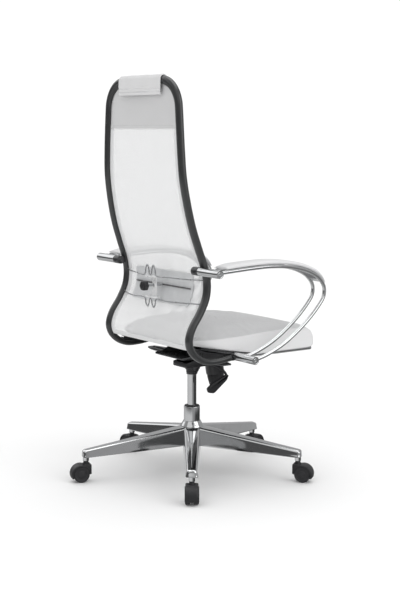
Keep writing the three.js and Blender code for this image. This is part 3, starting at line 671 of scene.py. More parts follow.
def painted(name, base, roughness, wear=0.25, bare=(0.35, 0.35, 0.36), scale=900.0, depth=0.25,
            metallic=0.0, **sockets):
    """Lacquered, enamelled or moulded surface with fine grain, rubbed edges and dust."""
    material, tree, shader = bare_material(name, base, roughness, metallic, **sockets)
    grain = effect(tree, "Fine Grain", Scale=scale)
    worn = effect(tree, "Edge Wear", Amount=wear)
    dust = effect(tree, "Dust", Amount=0.10)
    tone = mixed(tree, grain["Tone"], shaded(base, 0.88), shaded(base, 1.14))
    rubbed = mixed(tree, worn["Mask"], tone, bare)
    tree.links.new(mixed(tree, dust["Mask"], rubbed, (0.3, 0.3, 0.3)), shader.inputs["Base Color"])
    tree.links.new(ranged(tree, grain["Tone"], 0.3, 0.7, roughness - 0.05, roughness + 0.06),
                   shader.inputs["Roughness"])
    bump(tree, shader, grain["Height"], depth, 0.0002)
    return material


def plated(name, base, least, most, scratches=0.12):
    """Polished or brushed plate; faint smudges change its roughness and tone."""
    material, tree, shader = bare_material(name, base, least, 1.0)
    marks = effect(tree, "Smudges", Least=least, Most=most)
    grain = effect(tree, "Fine Grain", Scale=1400.0)
    tree.links.new(mixed(tree, marks["Tone"], base, shaded(base, 0.93)), shader.inputs["Base Color"])
    tree.links.new(marks["Roughness"], shader.inputs["Roughness"])
    bump(tree, shader, grain["Height"], scratches, 0.00003)
    return material


def frosted(name, base):
    material, tree, shader = bare_material(name, base, 0.45, Specular_IOR_Level=0.5)
    grain = effect(tree, "Fine Grain", Scale=700.0)
    tree.links.new(mixed(tree, grain["Tone"], shaded(base, 0.9), shaded(base, 1.08)),
                   shader.inputs["Base Color"])
    tree.links.new(ranged(tree, grain["Tone"], 0.3, 0.7, 0.38, 0.5), shader.inputs["Roughness"])
    tree.links.new(ranged(tree, grain["Tone"], 0.3, 0.7, 0.80, 0.88), shader.inputs["Alpha"])
    bump(tree, shader, grain["Height"], 0.2, 0.0002)
    return material


MATERIAL_MAKERS = {
    "chrome": lambda c: plated("Polished chrome", c.chrome, 0.05, 0.13),
    "steel": lambda c: plated("Bare steel", c.steel, 0.22, 0.36, 0.2),
    "lacquer": lambda c: painted("Frame lacquer", c.lacquer, 0.36, 0.2, Coat_Weight=0.7, Coat_Roughness=0.16),
    "plastic": lambda c: painted("Black plastic", c.plastic, 0.46, 0.12, (0.1, 0.1, 0.1), 1100.0, 0.4),
    "enamel": lambda c: painted("Black enamel", c.enamel, 0.3, 0.3, Coat_Weight=0.3, Coat_Roughness=0.2),
    "grey_paint": lambda c: painted("Grey paint", c.grey_paint, 0.24, 0.3, metallic=0.6),
    "nylon": lambda c: painted("Wheel nylon", c.nylon, 0.55, 0.1, (0.08, 0.08, 0.08), 800.0, 0.4),
    # lumbar bracket: chrome given a bright, mostly diffuse white base, a painted reflection of the white
    # surround
    "bright": lambda c: painted("Chrome with painted reflection", shaded(c.chrome, 1.15), 0.3, 0.05, scale=1300.0, depth=0.1,
                                metallic=0.3),
    "leather": lambda c: leather("White leatherette", c.leather),
    "panel": lambda c: leather("Headrest panel leatherette", shaded(c.leather, 0.88), 900.0, 0.8),
    "fabric": lambda c: seat_weave("Seat weave", c.fabric),
    "mesh": lambda c: back_weave("Back mesh", c.mesh, 440.0, 560.0, 0.88, 0.66),
    "hem": lambda c: back_weave("Mesh hem", shaded(c.mesh, 0.86), 440.0, 560.0, 0.0, 1.0),
    "frosted": lambda c: frosted("Frosted plastic", c.frosted),
    "thread": lambda c: painted("Thread", shaded(c.leather, 1.08), 0.7, 0.0, scale=2000.0, depth=0.3),
    "liner": lambda c: painted("Seat liner", (0.05, 0.05, 0.052), 0.8, 0.0, scale=700.0, depth=0.6),
}
made_materials = {}


def finish(name):
    """The material of a finish, made the first time that it is asked for."""
    if name not in made_materials:
        made_materials[name] = MATERIAL_MAKERS[name](colours())
    return made_materials[name]


# ---- stage -----------------------------------------------------------------------------------

CAMERA_PLACE = Vector((-3.2308, 2.2718, 1.0532))  # from the column's axis, in metres
CAMERA_TURN = (math.radians(82.547), 0, math.radians(234.886))
CAMERA_LENS = 78.66
CAMERA_SHIFT = 0.0135
FLOOR_HALF = 30.0

# brightness of the studio as (degrees from +X, value): just below the horizon, just above it and higher up
LOW_BAND = [(-180, 0.24), (-160, 0.05), (-85, 0.04), (-60, 0.55), (20, 0.5), (60, 0.6), (135, 0.62),
            (165, 0.3)]
HIGH_BAND = [(-180, 0.34), (-90, 0.36), (-45, 0.40), (5, 0.26), (32, 0.07), (118, 0.08), (150, 0.24)]
UPPER_BAND = [(-180, 0.30), (-90, 0.34), (-45, 0.38), (-20, 0.42), (-6, 1.1), (30, 1.1), (55, 0.30),
              (130, 0.25)]


def band(tree, turn, stops):
    ramp = add(tree, "ShaderNodeValToRGB", {"Fac": turn})
    ramp.color_ramp.interpolation = "EASE"
    marks = ramp.color_ramp.elements
    while len(marks) < len(stops) + 1:
        marks.new(0.5)
    ring = stops + [(180, stops[0][1])]
    for mark, (degrees, value) in zip(marks, ring):
        mark.position = degrees / 360 + 0.5
        mark.color = (value, value, value * 1.01, 1)
    return ramp.outputs["Color"]


def make_world():
    """A plain pale surround; metal sees soft bright and dark panels in it."""
    world = bpy.data.worlds.new("Studio")
    world.use_nodes = True
    tree = world.node_tree
    tree.nodes.clear()
    direction = add(tree, "ShaderNodeSeparateXYZ", {0: add(tree, "ShaderNodeTexCoord").outputs["Generated"]})
    x, y, z = (direction.outputs[k] for k in "XYZ")
    turn = maths(tree, "MULTIPLY_ADD", maths(tree, "ARCTAN2", y, x), 1 / (2 * math.pi), 0.5)
    sides = mixed(tree, ranged(tree, z, -0.185, -0.15), band(tree, turn, LOW_BAND),
                  band(tree, turn, HIGH_BAND))
    upper = mixed(tree, ranged(tree, z, 0.14, 0.30), sides, band(tree, turn, UPPER_BAND))
    roof = mixed(tree, ranged(tree, z, 0.84, 0.97), upper, (0.95, 0.95, 0.95))
    panels = mixed(tree, ranged(tree, z, -0.35, -0.85), roof, (0.32, 0.32, 0.32))
    path = add(tree, "ShaderNodeLightPath")
    shown = add(tree, "ShaderNodeBackground", {"Color": (1, 1, 1, 1), "Strength": 1.05})
    fill = add(tree, "ShaderNodeBackground", {"Color": (1, 1, 1, 1), "Strength": 0.78})
    mirror = add(tree, "ShaderNodeBackground", {"Color": panels, "Strength": 1.0})
    soft = add(tree, "ShaderNodeMixShader", {0: path.outputs["Is Glossy Ray"], 1: fill.outputs[0],
                                             2: mirror.outputs[0]})
    final = add(tree, "ShaderNodeMixShader", {0: path.outputs["Is Camera Ray"], 1: soft.outputs[0],
                                              2: shown.outputs[0]})
    add(tree, "ShaderNodeOutputWorld", {"Surface": final.outputs[0]})
    bpy.context.scene.world = world


def soft_light(name, place, strength, spread):
    """A very wide light that shines evenly over the whole floor from the side of place."""
    light = bpy.data.lights.new(name, "SUN")
    light.energy = strength
    light.angle = math.radians(spread)
    obj = bpy.data.objects.new(name, light)
    obj.location = COLUMN + Vector(place)
    obj.rotation_euler = (-Vector(place)).to_track_quat("-Z", "Y").to_euler()
    bpy.context.scene.collection.objects.link(obj)


def make_floor():
    mesh = bpy.data.meshes.new("studio_floor")
    h = FLOOR_HALF
    mesh.from_pydata([(-h, -h, 0), (h, -h, 0), (h, h, 0), (-h, h, 0)], [], [(0, 1, 2, 3)])
    floor = bpy.data.objects.new("studio_floor", mesh)
    bpy.context.scene.collection.objects.link(floor)
    material, tree, shader = bare_material("Studio floor", colours().floor, 0.7, Specular_IOR_Level=0.1)
    cloud = noise_of(tree, object_point(tree), 3.0)
    tree.links.new(mixed(tree, cloud, shaded(colours().floor, 0.985), colours().floor),
                   shader.inputs["Base Color"])
    mesh.materials.append(material)
    floor.visible_glossy = False


def make_camera():
    data = bpy.data.cameras.new("Camera")
    data.lens = CAMERA_LENS
    data.shift_x = CAMERA_SHIFT
    data.clip_end = 100
    camera = bpy.data.objects.new("Camera", data)
    camera.location = COLUMN + CAMERA_PLACE
    camera.rotation_euler = CAMERA_TURN
    bpy.context.scene.collection.objects.link(camera)
    bpy.context.scene.camera = camera


class CHAIR_OT_stage(bpy.types.Operator):
    """Makes the camera, the floor, the surround and the lights"""
    bl_idname = "chair.stage"
    bl_label = "Studio"

    def execute(self, context):
        context.scene.view_settings.view_transform = "Standard"
        make_camera()
        make_floor()
        make_world()
        soft_light("Overhead light", (0.4, -0.5, 3.0), 0.75, 60)
        soft_light("Left light", (-1.6, 3.0, 2.6), 0.25, 50)
        soft_light("Right light", (-3.0, -1.0, 1.6), 0.75, 50)
        return {"FINISHED"}


# ---- base, column and gas lift -----------------------------------------------------------------

LEG_COUNT = 5
LEG_PHASE = 0.9
LEG_START, LEG_END = 20.0, 345.0
LEG_TOP = (149.0, 95.5)  # at the hub and at the tip
LEG_BOTTOM = (92.0, 75.0)
LEG_HALF_WIDTH = (27.5, 18.0)
LEG_CROWN = 1.2  # how much the top rises across its middle
LEG_DRAFT = 2.6  # how much narrower each side is at the top
LEG_TIP_ROUND = 9.0
CASTER_REACH = 335.0
CASTER_TRAIL = 17.0
BOSS_BOTTOM = 62.0


def leg_turn(index):
    return Matrix.Rotation(math.radians(LEG_PHASE + index * 360 / LEG_COUNT), 4, "Z")


def leg_skin():
    """Open-bottomed tapered leg with a rounded top and tip, drawn along +X."""
    edge = sizes().leg_edge / MM
    rings = []
    stations = list(np.linspace(LEG_START, LEG_END - LEG_TIP_ROUND, 30))
    stations += [LEG_END - LEG_TIP_ROUND * (1 - math.sin(a)) for a in np.linspace(0.25, math.pi / 2, 6)]
    for x in stations:
        t = (x - LEG_START) / (LEG_END - LEG_START)
        top, low, half = (a + (b - a) * t for a, b in (LEG_TOP, LEG_BOTTOM, LEG_HALF_WIDTH))
        late = max(0.0, (x - (LEG_END - LEG_TIP_ROUND)) / LEG_TIP_ROUND)
        curl = LEG_TIP_ROUND * (1 - math.sqrt(max(0.0, 1 - late * late)))
        half -= curl * 0.9
        top -= curl * 0.45
        flat_half = half - LEG_DRAFT - edge
        profile = [(-half, low), (-half, low + 3)]
        profile += [(-half + LEG_DRAFT * s, low + (top - edge - low) * s) for s in (0.35, 0.7)]
        profile += arc(-half + LEG_DRAFT + edge, top - edge, edge, 180, 96, 6)
        profile += [(y, top + LEG_CROWN * (1 - (y / flat_half) ** 2))
                    for y in np.linspace(-flat_half * 0.8, 0, 4)]
        profile += [(-y, z) for y, z in reversed(profile[:-1])]
        rings.append([(x, y, z) for y, z in profile])
    points, faces = loft(rings, ends=False, around=False)
    size, last = len(rings[0]), (len(rings) - 1) * len(rings[0])
    for j in range(size // 2):  # closes the tip
        a, b = last + j, last + size - 1 - j
        if a + 1 < b - 1:
            faces.append((a, a + 1, b - 1, b))
        else:
            faces.append((a, a + 1, b))
    return points, faces


def make_base():
    legs = together(*(moved(leg_skin(), leg_turn(i)) for i in range(LEG_COUNT)))
    shell = applied(thicken(raw_object("leg_shell", legs, sharp=0), sizes().leg_wall, -1))
    hub = turned_ring([(25.3, 90), (30, 90), (33, 93), (33, 138), (36, 146), (35.5, 149.5), (27.5, 163),
                       (27, 165), (25.3, 165)], 1.6, 3, 64)
    boss = turned_ring([(5.4, BOSS_BOTTOM), (8.2, BOSS_BOTTOM), (9.5, BOSS_BOTTOM + 2), (9.5, 92),
                        (5.4, 92)], 0.8, 3, 28)
    rib = slab(rounded([(300, 78), (326, 77), (326, 90), (300, 94)], 2), -1.5, 1.5, "xz", 0.6)
    tip = together(moved(boss, Matrix.Translation((CASTER_REACH, 0, 0))), rib)
    skin = together(hub, *(moved(tip, leg_turn(i)) for i in range(LEG_COUNT)))
    rest = raw_object("base_rest", skin, sharp=35)
    shell.data.set_sharp_from_angle(angle=math.radians(50))
    base = joined("star_base_shell", shell, rest)
    dress(base, finish("chrome"), "base", ["star_base"])


def joined(name, *objects):
    """One object from several, keeping their smooth and sharp faces."""
    with bpy.context.temp_override(active_object=objects[0], selected_editable_objects=list(objects)):
        bpy.ops.object.join()
    objects[0].name = name
    objects[0].data.name = name
    return objects[0]


def make_column():
    sleeve = turned_ring([(9, 66), (23.5, 66), (25, 67.5), (25, 209), (24.4, 210), (22.5, 210), (22.5, 70),
                          (9, 70)], 0.8, 3, 64)
    collar = turned_ring([(14.4, 150.4), (22.1, 150.4), (22.1, 210.4), (22.6, 212.2), (20.5, 213),
                          (14.4, 213)], 0.5, 2, 48)
    cylinder = turned_ring([(5.4, 172), (13.2, 172), (14, 173.5), (14, 320), (13.2, 341), (4.5, 341),
                            (4.5, 327), (11, 310), (11, 177), (5.4, 177)], 0.6, 3, 56)
    piece("column_sleeve", sleeve, finish("chrome"), "base", ["column_tube"])
    piece("column_collar", collar, finish("plastic"), "base", ["column_bush"])
    piece("gas_cylinder_tube", cylinder, finish("chrome"), "lift", ["gas_cylinder"])


class CHAIR_OT_base(bpy.types.Operator):
    """Makes the five-leg base, the column and the gas cylinder"""
    bl_idname = "chair.base"
    bl_label = "Base and Column"

    def execute(self, context):
        make_base()
        make_column()
        return {"FINISHED"}


# ---- casters -----------------------------------------------------------------------------------

HOOD_HALF = 20.5
HOOD_RADIUS = 30.0
HOOD_INNER = 26.3
WHEEL_WIDTH = 15.0
WHEEL_GAP = 10.0
WEB_HALF = 4.4  # of the web between the two wheels


def hood_section(corner):
    """Rounded cross-section of the hood as (distance from the axle, sideways)."""
    outer = [(HOOD_RADIUS, 0)]
    outer += [(HOOD_RADIUS - corner + corner * math.cos(a), HOOD_HALF - corner + corner * math.sin(a))
              for a in np.linspace(0, math.pi / 2 * 0.92, 6)]
    outer += [(HOOD_INNER + 0.5, HOOD_HALF), (HOOD_INNER, HOOD_HALF - 0.8), (HOOD_INNER, 0)]
    return outer + [(r, -y) for r, y in reversed(outer[1:-1])]


def caster_fork_skin():
    r = sizes().wheel_radius / MM
    section = hood_section(6.0)
    rings = []
    for a in np.radians(np.linspace(-24, 178, 34)):
        rings.append([(CASTER_TRAIL + d * math.cos(a), y, r + d * math.sin(a)) for d, y in section])
    hood = loft(rings)
    web = together(*(slab(outline, -WEB_HALF, WEB_HALF, "xz", 0.8) for outline in (
        rounded(arc(CASTER_TRAIL, r, HOOD_INNER + 1, 8, 172, 20), 1, 2),
        arc(CASTER_TRAIL, r, 8, 0, 345, 23))))
    block = slab(rounded(rectangle(-14, 8, -18.5, 18.5), 5, 4), r - 1, r + HOOD_RADIUS, "xy", 3)
    neck = turned_solid([(AXIS, 50), (11, 50), (10, 57), (8.2, 57), (7.5, 61.4), (AXIS, 61.4)], 0.8, 3, 32)
    stem = turned_solid([(AXIS, 58), (5.1, 58), (5.1, 85), (4.2, 86), (AXIS, 86)], 0.6, 2, 24)
    axle = moved(round_rod(3, -15, 15, 0.5, 20),
                 Matrix.Translation((CASTER_TRAIL, 0, r)) @ Matrix.Rotation(math.pi / 2, 4, "X"))
    return together(hood, web, block, neck, axle), stem


def wheel_skin():
    """A wheel with a rounded tread, a shallow dished face and a cap, drawn up the Z axis."""
    r = sizes().wheel_radius / MM
    w = WHEEL_WIDTH
    outer = rounded([(3.3, 0), (r - 2, 0), (r - 0.2, 1.6), (r, 4), (r, w - 4.5), (r - 0.8, w - 2),
                     (r - 2.8, w - 0.3), (r - 5, w), (r - 6, w - 1.4), (11, w - 2.2), (10, w - 0.6), (7, w),
                     (AXIS, w)], 0.6, 2, closed=False)
    inner = [(AXIS, w - 4), (3.3, w - 4)]
    return turned(np.vstack([inner, outer]), 48)


class CHAIR_OT_casters(bpy.types.Operator):
    """Makes the five twin-wheel casters"""
    bl_idname = "chair.casters"
    bl_label = "Casters"

    def execute(self, context):
        fork, stem = caster_fork_skin()
        r = sizes().wheel_radius / MM
        for i in range(LEG_COUNT):
            place = leg_turn(i) @ Matrix.Translation((CASTER_REACH, 0, 0))
            body = f"caster_{i + 1}"
            piece(f"{body}_hood", moved(fork, place), finish("plastic"), body, [f"{body}_fork"],
                  45)
            piece(f"{body}_stem", moved(stem, place), finish("steel"), body)
            for hand, side in SIDES:
                turn = Matrix.Rotation(-side * math.pi / 2, 4, "X")
                at = Matrix.Translation((CASTER_TRAIL, side * WHEEL_GAP / 2, r))
                wheel = moved(wheel_skin(), place @ at @ turn)
                piece(f"{body}_tread_{hand}", wheel, finish("nylon"), f"{body}_wheel_{hand}",
                      [f"{body}_wheel_{hand}"], 45)
        return {"FINISHED"}


# ---- tilt mechanism ----------------------------------------------------------------------------

TILT_Y, TILT_Z = -47.0, 352.0
HOUSING_HALF = 36.0
FLOOR_Z = 335.0
TOWER = Matrix.Translation((0, -82, 341)) @ Matrix.Rotation(math.radians(-9.7), 4, "X")
LEVER_Z = 351.3
CARRIER_LOW, CARRIER_HIGH = 369.0, 373.0
# stations of a wing as (from the middle, height, front, rear)
WING = ((68, 371.2, -18, 48), (92, 370.0, -18, 48), (118, 368.6, -17, 47), (148, 367.4, -14, 44),
        (176, 367.0, -9, 38), (196, 367.4, -3, 32), (203, 367.8, 2, 27))


def make_housing():
    front, rear, wall, half = -108.0, 45.0, 3.0, HOUSING_HALF
    side = rounded([(front, FLOOR_Z + 3), (front + 9, FLOOR_Z), (rear - 2, FLOOR_Z), (rear, FLOOR_Z + 3),
                    (rear, TILT_Z - 2), (TILT_Y + 12, TILT_Z + 13), (front, TILT_Z + 13)], 3, 3)
    walls = [slab(side, s * half, s * (half - wall), "yz", 1.0) for s in (-1, 1)]
    floor = slab(rounded(rectangle(-half + 0.5, half - 0.5, front + 5, rear - 1), 4), FLOOR_Z,
                 FLOOR_Z + wall, "xy", 0.8)
    ends = [slab(rounded(rectangle(-half + 1, half - 1, FLOOR_Z + 0.5, top), 2), at, at + wall, "xz", 0.8)
            for at, top in ((front, TILT_Z + 12.5), (rear - wall, TILT_Z - 2.5))]
    collar = turned_ring([(14.35, 309), (16.2, 309), (17, 310), (17, 315), (18, 316), (17.6, 321),
                          (21, 326), (27, FLOOR_Z), (27, FLOOR_Z + 2), (14.35, FLOOR_Z + 2)], 0.7, 3, 48)
    tower = moved(turned_ring([(25.5, -38), (28.5, -38), (28.5, -10), (29.5, -8), (29.5, 4), (25.5, 4)],
                              0.8, 3, 48), TOWER)
    ribs = []
    for angle in (200, 250, 290, 340):
        rib = slab(rounded([(16, 312), (17.5, 312), (31, FLOOR_Z + 1), (16, FLOOR_Z + 1)], 1), -1.4, 1.4,
                   "xz", 0.5)
        ribs.append(moved(rib, Matrix.Rotation(math.radians(angle), 4, "Z")))
    bosses = [along_x(round_rod(9, at, at + 2, 0.6), TILT_Y, TILT_Z) for at in (-half - 2, half)]
    skin = together(*walls, floor, *ends, collar, tower, *ribs, *bosses)
    piece("mechanism_shell", skin, finish("enamel"), "lift", ["mechanism_housing"], 38)


def make_tension_knob():
    high, radius = -38.0, 26.5
    low = high - 40.0
    heights = rounded([(AXIS, low), (radius - 8, low), (radius - 3.5, low + 5), (radius - 0.6, low + 26),
                       (radius - 0.3, high - 4.5), (radius - 1.5, high - 0.6), (AXIS, high - 0.6)],
                      1.6, 4, closed=False)
    segments, ribs = 144, 18
    angles = np.linspace(0, 2 * math.pi, segments, endpoint=False)
    rings = []
    for r, z in heights:
        share = max(0.0, min(1.0, (r - 12) / 10))
        notch = 0.9 * share * np.clip(np.cos(ribs * angles) * 3 - 2, 0, 1)
        rings.append(np.stack([(r - notch) * np.cos(angles), (r - notch) * np.sin(angles),
                               np.full(segments, z)], axis=1))
    screw = round_rod(4, high - 2, 14, 0.5, 20)
    piece("tension_grip", moved(together(loft(rings), screw), TOWER), finish("plastic"), "tension_knob",
          ["tension_knob"])


def make_lever():
    line = smooth_line([(6, 0, LEVER_Z), (-8, -1, LEVER_Z), (-36, -5, LEVER_Z), (-56, -13, LEVER_Z - 2),
                        (-82, -40, 338), (-96, -57, 318), (-98, -58, 308)], 3.0)
    arm = sweep(line, circle(4.0, 18), (0, 1, 0), lambda t: (min(1, 0.78 + 1.2 * t),) * 2)
    blade = rounded([(-66, 313), (-58, 317), (-48, 312), (0, 292), (15, 280), (10, 267), (-11, 263),
                     (-59, 299)], 5, 4)
    paddle = slab(blade, -94, -103, "yz", 3.2, 5)
    rib = slab(inset(blade, 7), -103, -103.8, "yz", 0.4)
    hook = moved(round_rod(5.4, -4, 4, 1.6, 28),
                 Matrix.Translation((-98, -58, 309)) @ Matrix.Rotation(math.pi / 2, 4, "Y"))
    piece("lift_lever_handle", together(arm, paddle, rib, hook), finish("plastic"), "lift_lever",
          ["lift_lever"], 45)


def make_carrier():
    plate = slab(rounded(rectangle(-75, 75, -125, 85), 14), CARRIER_LOW, CARRIER_HIGH, "xy", 1.2)
    top = [(85, 376), (58, 378), (24, 396), (5, 407.6), (-90, 393.6), (-200, 393.6)]
    rail = rounded([(-200, CARRIER_LOW + 5), (-190, CARRIER_LOW), (85, CARRIER_LOW)] + top, 3)
    rails = [slab(rail, s * 71, s * 75, "yz", 0.8) for s in (-1, 1)]
    parts = [plate, *rails]
    for s in (-1, 1):
        rings = []
        for x, z, front, rear in WING:
            flat = rounded(rectangle(front, rear, z - 2, z + 2), 1.4, 3)
            rings.append([(s * x, y, h) for y, h in flat])
        parts.append(loft(rings))
        bead = smooth_line([(s * 70, 15, 372.8), (s * 118, 15, 370.2), (s * 160, 14, 369.2),
                            (s * 192, 14, 369.2)], 4)
        parts.append(sweep(bead, circle(3.0, 12), (0, 1, 0),
                           lambda t: (math.sin(math.pi * min(0.94, t + 0.06)) ** 0.4,) * 2))
        flange = rounded([(TILT_Y - 12, TILT_Z - 9), (TILT_Y + 12, TILT_Z - 9),
                          (TILT_Y + 40, CARRIER_LOW + 2), (TILT_Y - 40, CARRIER_LOW + 2)], 6)
        parts.append(slab(flange, s * 38.6, s * 42.4, "yz", 0.8))
    piece("seat_carrier_plate", together(*parts), finish("grey_paint"), "seat", ["seat_carrier"],
          35)


class CHAIR_OT_mechanism(bpy.types.Operator):
    """Makes the tilt housing, tension knob, lift lever and seat carrier"""
    bl_idname = "chair.mechanism"
    bl_label = "Tilt Mechanism"

    def execute(self, context):
        make_housing()
        make_tension_knob()
        make_lever()
        make_carrier()
        return {"FINISHED"}


# ---- seat --------------------------------------------------------------------------------------

SEAT_OUTLINE = [(-150, 153), (150, 153), (192, 108), (212, 60), (234, -40), (234, -310),
                (-234, -310), (-234, -40), (-212, 60), (-192, 108)]
SEAT_CORNERS = [30, 30, 40, 40, 60, 52, 52, 60, 40, 40]
SEAT_HALF = 234.0
UNDERSIDE = [(-310, 401), (-278, 397), (-90, 396), (5, 409), (145, 434), (153, 436)]
CREST = [(-310, 446), (-302, 450), (-284, 456), (-235, 466), (-160, 475), (-60, 481), (40, 479), (105, 468),
         (142, 455), (153, 447)]
SEAM = [(-310, 441), (-290, 449), (-250, 457), (-180, 461), (-87, 458), (10, 451), (84, 446), (137, 444),
        (153, 442.5)]
SEAM_INSET = [(-310, 15), (-270, 12), (-150, 6), (0, 3.5), (153, 2.6)]
REAR_BORDER_END = 138.0  # behind this the woven cover runs down to the edge
SEAT_CENTRE_Y = -80.0
PAN_ROOM = 8.2
BORDER_START = 5  # above the underside, where the border starts to curve in
TUBE_X, TUBE_Z = 212.0, 392.5


def height_of(table, y):
    ys, zs = zip(*table)
    return float(np.interp(y, ys, zs))


def seat_rings():
    """Rings from the middle of the underside, round the border and over the top to its middle."""
    edge = spaced(rounded(SEAT_OUTLINE, SEAT_CORNERS, 8), 7.5, closed=True)
    rings, kinds = [], []

    def ring(shrink, scale, height, kind):
        inward = [shrink(ey) for _, ey in edge] if callable(shrink) else [shrink] * len(edge)
        flat = inset(edge, np.array(inward)[:, None])
        flat = (flat - (0, SEAT_CENTRE_Y)) * scale + (0, SEAT_CENTRE_Y)
        rings.append([(x, y, height(x, y, ey)) for (x, y), (_, ey) in zip(flat, edge)])
        kinds.append(kind)

    def under(x, y, ey):
        return height_of(UNDERSIDE, y)

    def recess(x, y, ey):
        return height_of(UNDERSIDE, y) + PAN_ROOM

    def top(x, y, ey):
        crest, seam = height_of(CREST, y), height_of(SEAM, y)
        return crest - (crest - seam) * min(1.0, abs(x) / SEAT_HALF) ** 2.6

    for scale in (0.05, 0.25, 0.45, 0.65, 0.82, 0.95):
        ring(12, scale, recess, "liner")
    ring(12, 0.965, under, "under")
    ring(6, 1, under, "under")
    ring(2.2, 1, lambda x, y, ey: under(x, y, ey) + 1.6, "border")
    ring(0.5, 1, lambda x, y, ey: under(x, y, ey) + BORDER_START, "border")
    for share in (0.2, 0.4, 0.58, 0.74, 0.88):
        ring(lambda ey, s=share: height_of(SEAM_INSET, ey) * (1 - math.cos(math.pi / 2 * s)) - 0.6,
             1, lambda x, y, ey, s=share: height_of(UNDERSIDE, ey) + BORDER_START
             + math.sin(math.pi / 2 * s) * (height_of(SEAM, ey) - height_of(UNDERSIDE, ey) - BORDER_START),
             "border")
    ring(lambda ey: height_of(SEAM_INSET, ey), 1, lambda x, y, ey: height_of(SEAM, ey) - 1.2, "seam")
    for extra, drop in ((1.9, 0.2), (5.4, -1.2), (10.4, -1.0), (16.4, -0.4)):
        ring(lambda ey, e=extra: height_of(SEAM_INSET, ey) + e, 1,
             lambda x, y, ey, d=drop: top(x, y, ey) - d, "top")
    for scale in np.linspace(0.865, 0.04, 24):
        ring(0, scale, top, "top")
    return edge, rings, kinds


def make_seat():
    edge, rings, kinds = seat_rings()
    seat = raw_object("seat_cover", loft(rings), sharp=0)
    count = len(edge)
    pins = []
    for kind, ring in zip(kinds, rings):
        for _ in ring:
            pins.append({"liner": 1.0, "under": 1.0, "border": 0.55, "seam": 0.97, "top": 0.0}[kind])
    swell(seat, pins, pressure=3.2, most=sizes().seat_swell)
    mesh = seat.data
    dress(seat, finish("fabric"), "seat", ["seat_cushion"])
    mesh.materials.append(finish("leather"))
    mesh.materials.append(finish("liner"))
    seam_ring = kinds.index("seam")
    woven, leathered, lined = range(3)
    index = []
    for i, kind in enumerate(kinds[:-1]):
        for j in range(count):
            y = (edge[j][1] + edge[(j + 1) % count][1]) / 2
            index.append(lined if kind == "liner" else
                         leathered if i < seam_ring and y < REAR_BORDER_END else woven)
    mesh.polygons.foreach_set("material_index", index + [lined, woven])
    smooth_cover(seat)
    now = points_of(seat)
    seam = now[seam_ring * count:(seam_ring + 1) * count]
    out = seam - np.array([0, SEAT_CENTRE_Y, 0])
    out[:, 2] = 0
    out /= np.linalg.norm(out, axis=1, keepdims=True)
    open_run = [j for j in range(count) if edge[j][1] < REAR_BORDER_END]
    first = next(k for k in range(len(open_run)) if open_run[k] - open_run[k - 1] != 1)
    order = open_run[first:] + open_run[:first]
    piping("seat_piping", seam[order] + out[order] * 0.4, 1.5, 10, (0, 0, 1))
    below = now[(seam_ring - 2) * count:(seam_ring - 1) * count][order]
    stitch_row("seat_border_stitches", below + out[order] * 0.2, out[order])
    for hand, side in SIDES:
        corner = min((j for j in range(count) if edge[j][0] * side > 0),
                     key=lambda j: abs(edge[j][1] - REAR_BORDER_END))
        rows = [now[r * count + corner] for r in range(kinds.index("border"), seam_ring + 1)]
        piping(f"seat_corner_seam_{hand}", np.array(rows) + out[corner] * 0.3, 1.1, 8, (1, 0, 0), 3)


def make_seat_tubes():
    for hand, side in SIDES:
        low, high = span(f"seat_tube_{hand}")
        skin = moved(round_rod(7, low.y, high.y, 3.0), to_rear(side * TUBE_X, 0, TUBE_Z))
        piece(f"seat_rail_tube_{hand}", skin, finish("chrome"), "seat", [f"seat_tube_{hand}"])


def make_side_brackets():
    rail = rounded([(148, 424), (146, 431), (105, 419), (80, 413.5), (52, 411.5), (16, 409), (-4, 404),
                    (-4, 396), (16, 400), (52, 404), (80, 406), (105, 411)], 1.6)
    block = rounded(rectangle(-12, 18, 383, 406), 4)
    gusset = rounded([(112, 416), (60, 407.5), (10, 404), (10, 389), (60, 386), (98, 387), (112, 394)], 3)
    for hand, side in SIDES:
        parts = [slab(outline, side * near, side * far, "yz", edge) for outline, near, far, edge in (
            (rail, 206, 220, 1.6), (block, 202, 225, 2.2), (gusset, 210, 213, 0.8))]
        for shift in (0, 6.5):
            bead = smooth_line([(side * 209.4, 22, 394.5 + shift * 0.6), (side * 209.4, 62, 394.2 + shift),
                                (side * 209.4, 98, 398 + shift), (side * 209.4, 122, 407 + shift)], 3)
            parts.append(sweep(bead, circle(1.5, 10), (0, 0, 1)))
        piece(f"side_bracket_plate_{hand}", together(*parts), finish("enamel"), "seat",
              [f"side_bracket_{hand}"], 38)


class CHAIR_OT_seat(bpy.types.Operator):
    """Makes the padded seat, its seams, the chrome tubes under it and the side brackets"""
    bl_idname = "chair.seat"
    bl_label = "Seat"

    def execute(self, context):
        make_seat()
        make_seat_tubes()
        make_side_brackets()
        return {"FINISHED"}


# ---- back --------------------------------------------------------------------------------------

FRAME_TOP = 1190.0
FRAME_TOP_Y = 174.5
CORNER_RADIUS = 85.0
CORNER_Z = FRAME_TOP - CORNER_RADIUS
BEND_TOP = 842.0
UPRIGHT = CORNER_Z - BEND_TOP
SIDE_LINE = [(18, 391.5), (60, 386.5), (100, 388), (133, 402), (155, 425), (162, 452), (152, 486), (122, 531),
             (102, 572), (97, 612), (104, 655), (124, 712), (144, 772), (160, BEND_TOP),
             (FRAME_TOP_Y - 3.5, BEND_TOP + 0.2776 * UPRIGHT),
             (FRAME_TOP_Y - 0.5, BEND_TOP + 0.5627 * UPRIGHT),
             (FRAME_TOP_Y, CORNER_Z)]
FRAME_HALF, FRAME_TAPER = 216, 33  # half width low down, and how much narrower it is near the top
TAPER_START, TAPER_RISE = 386, 754
OVAL_POWER = 0.86  # below 1 makes the tube's oval fuller
GROOVE_AT, GROOVE_HALF, GROOVE_DEPTH = 5.2, 1.9, 0.10
MESH_BOTTOM, MESH_TOP = 423.5, 1052.0
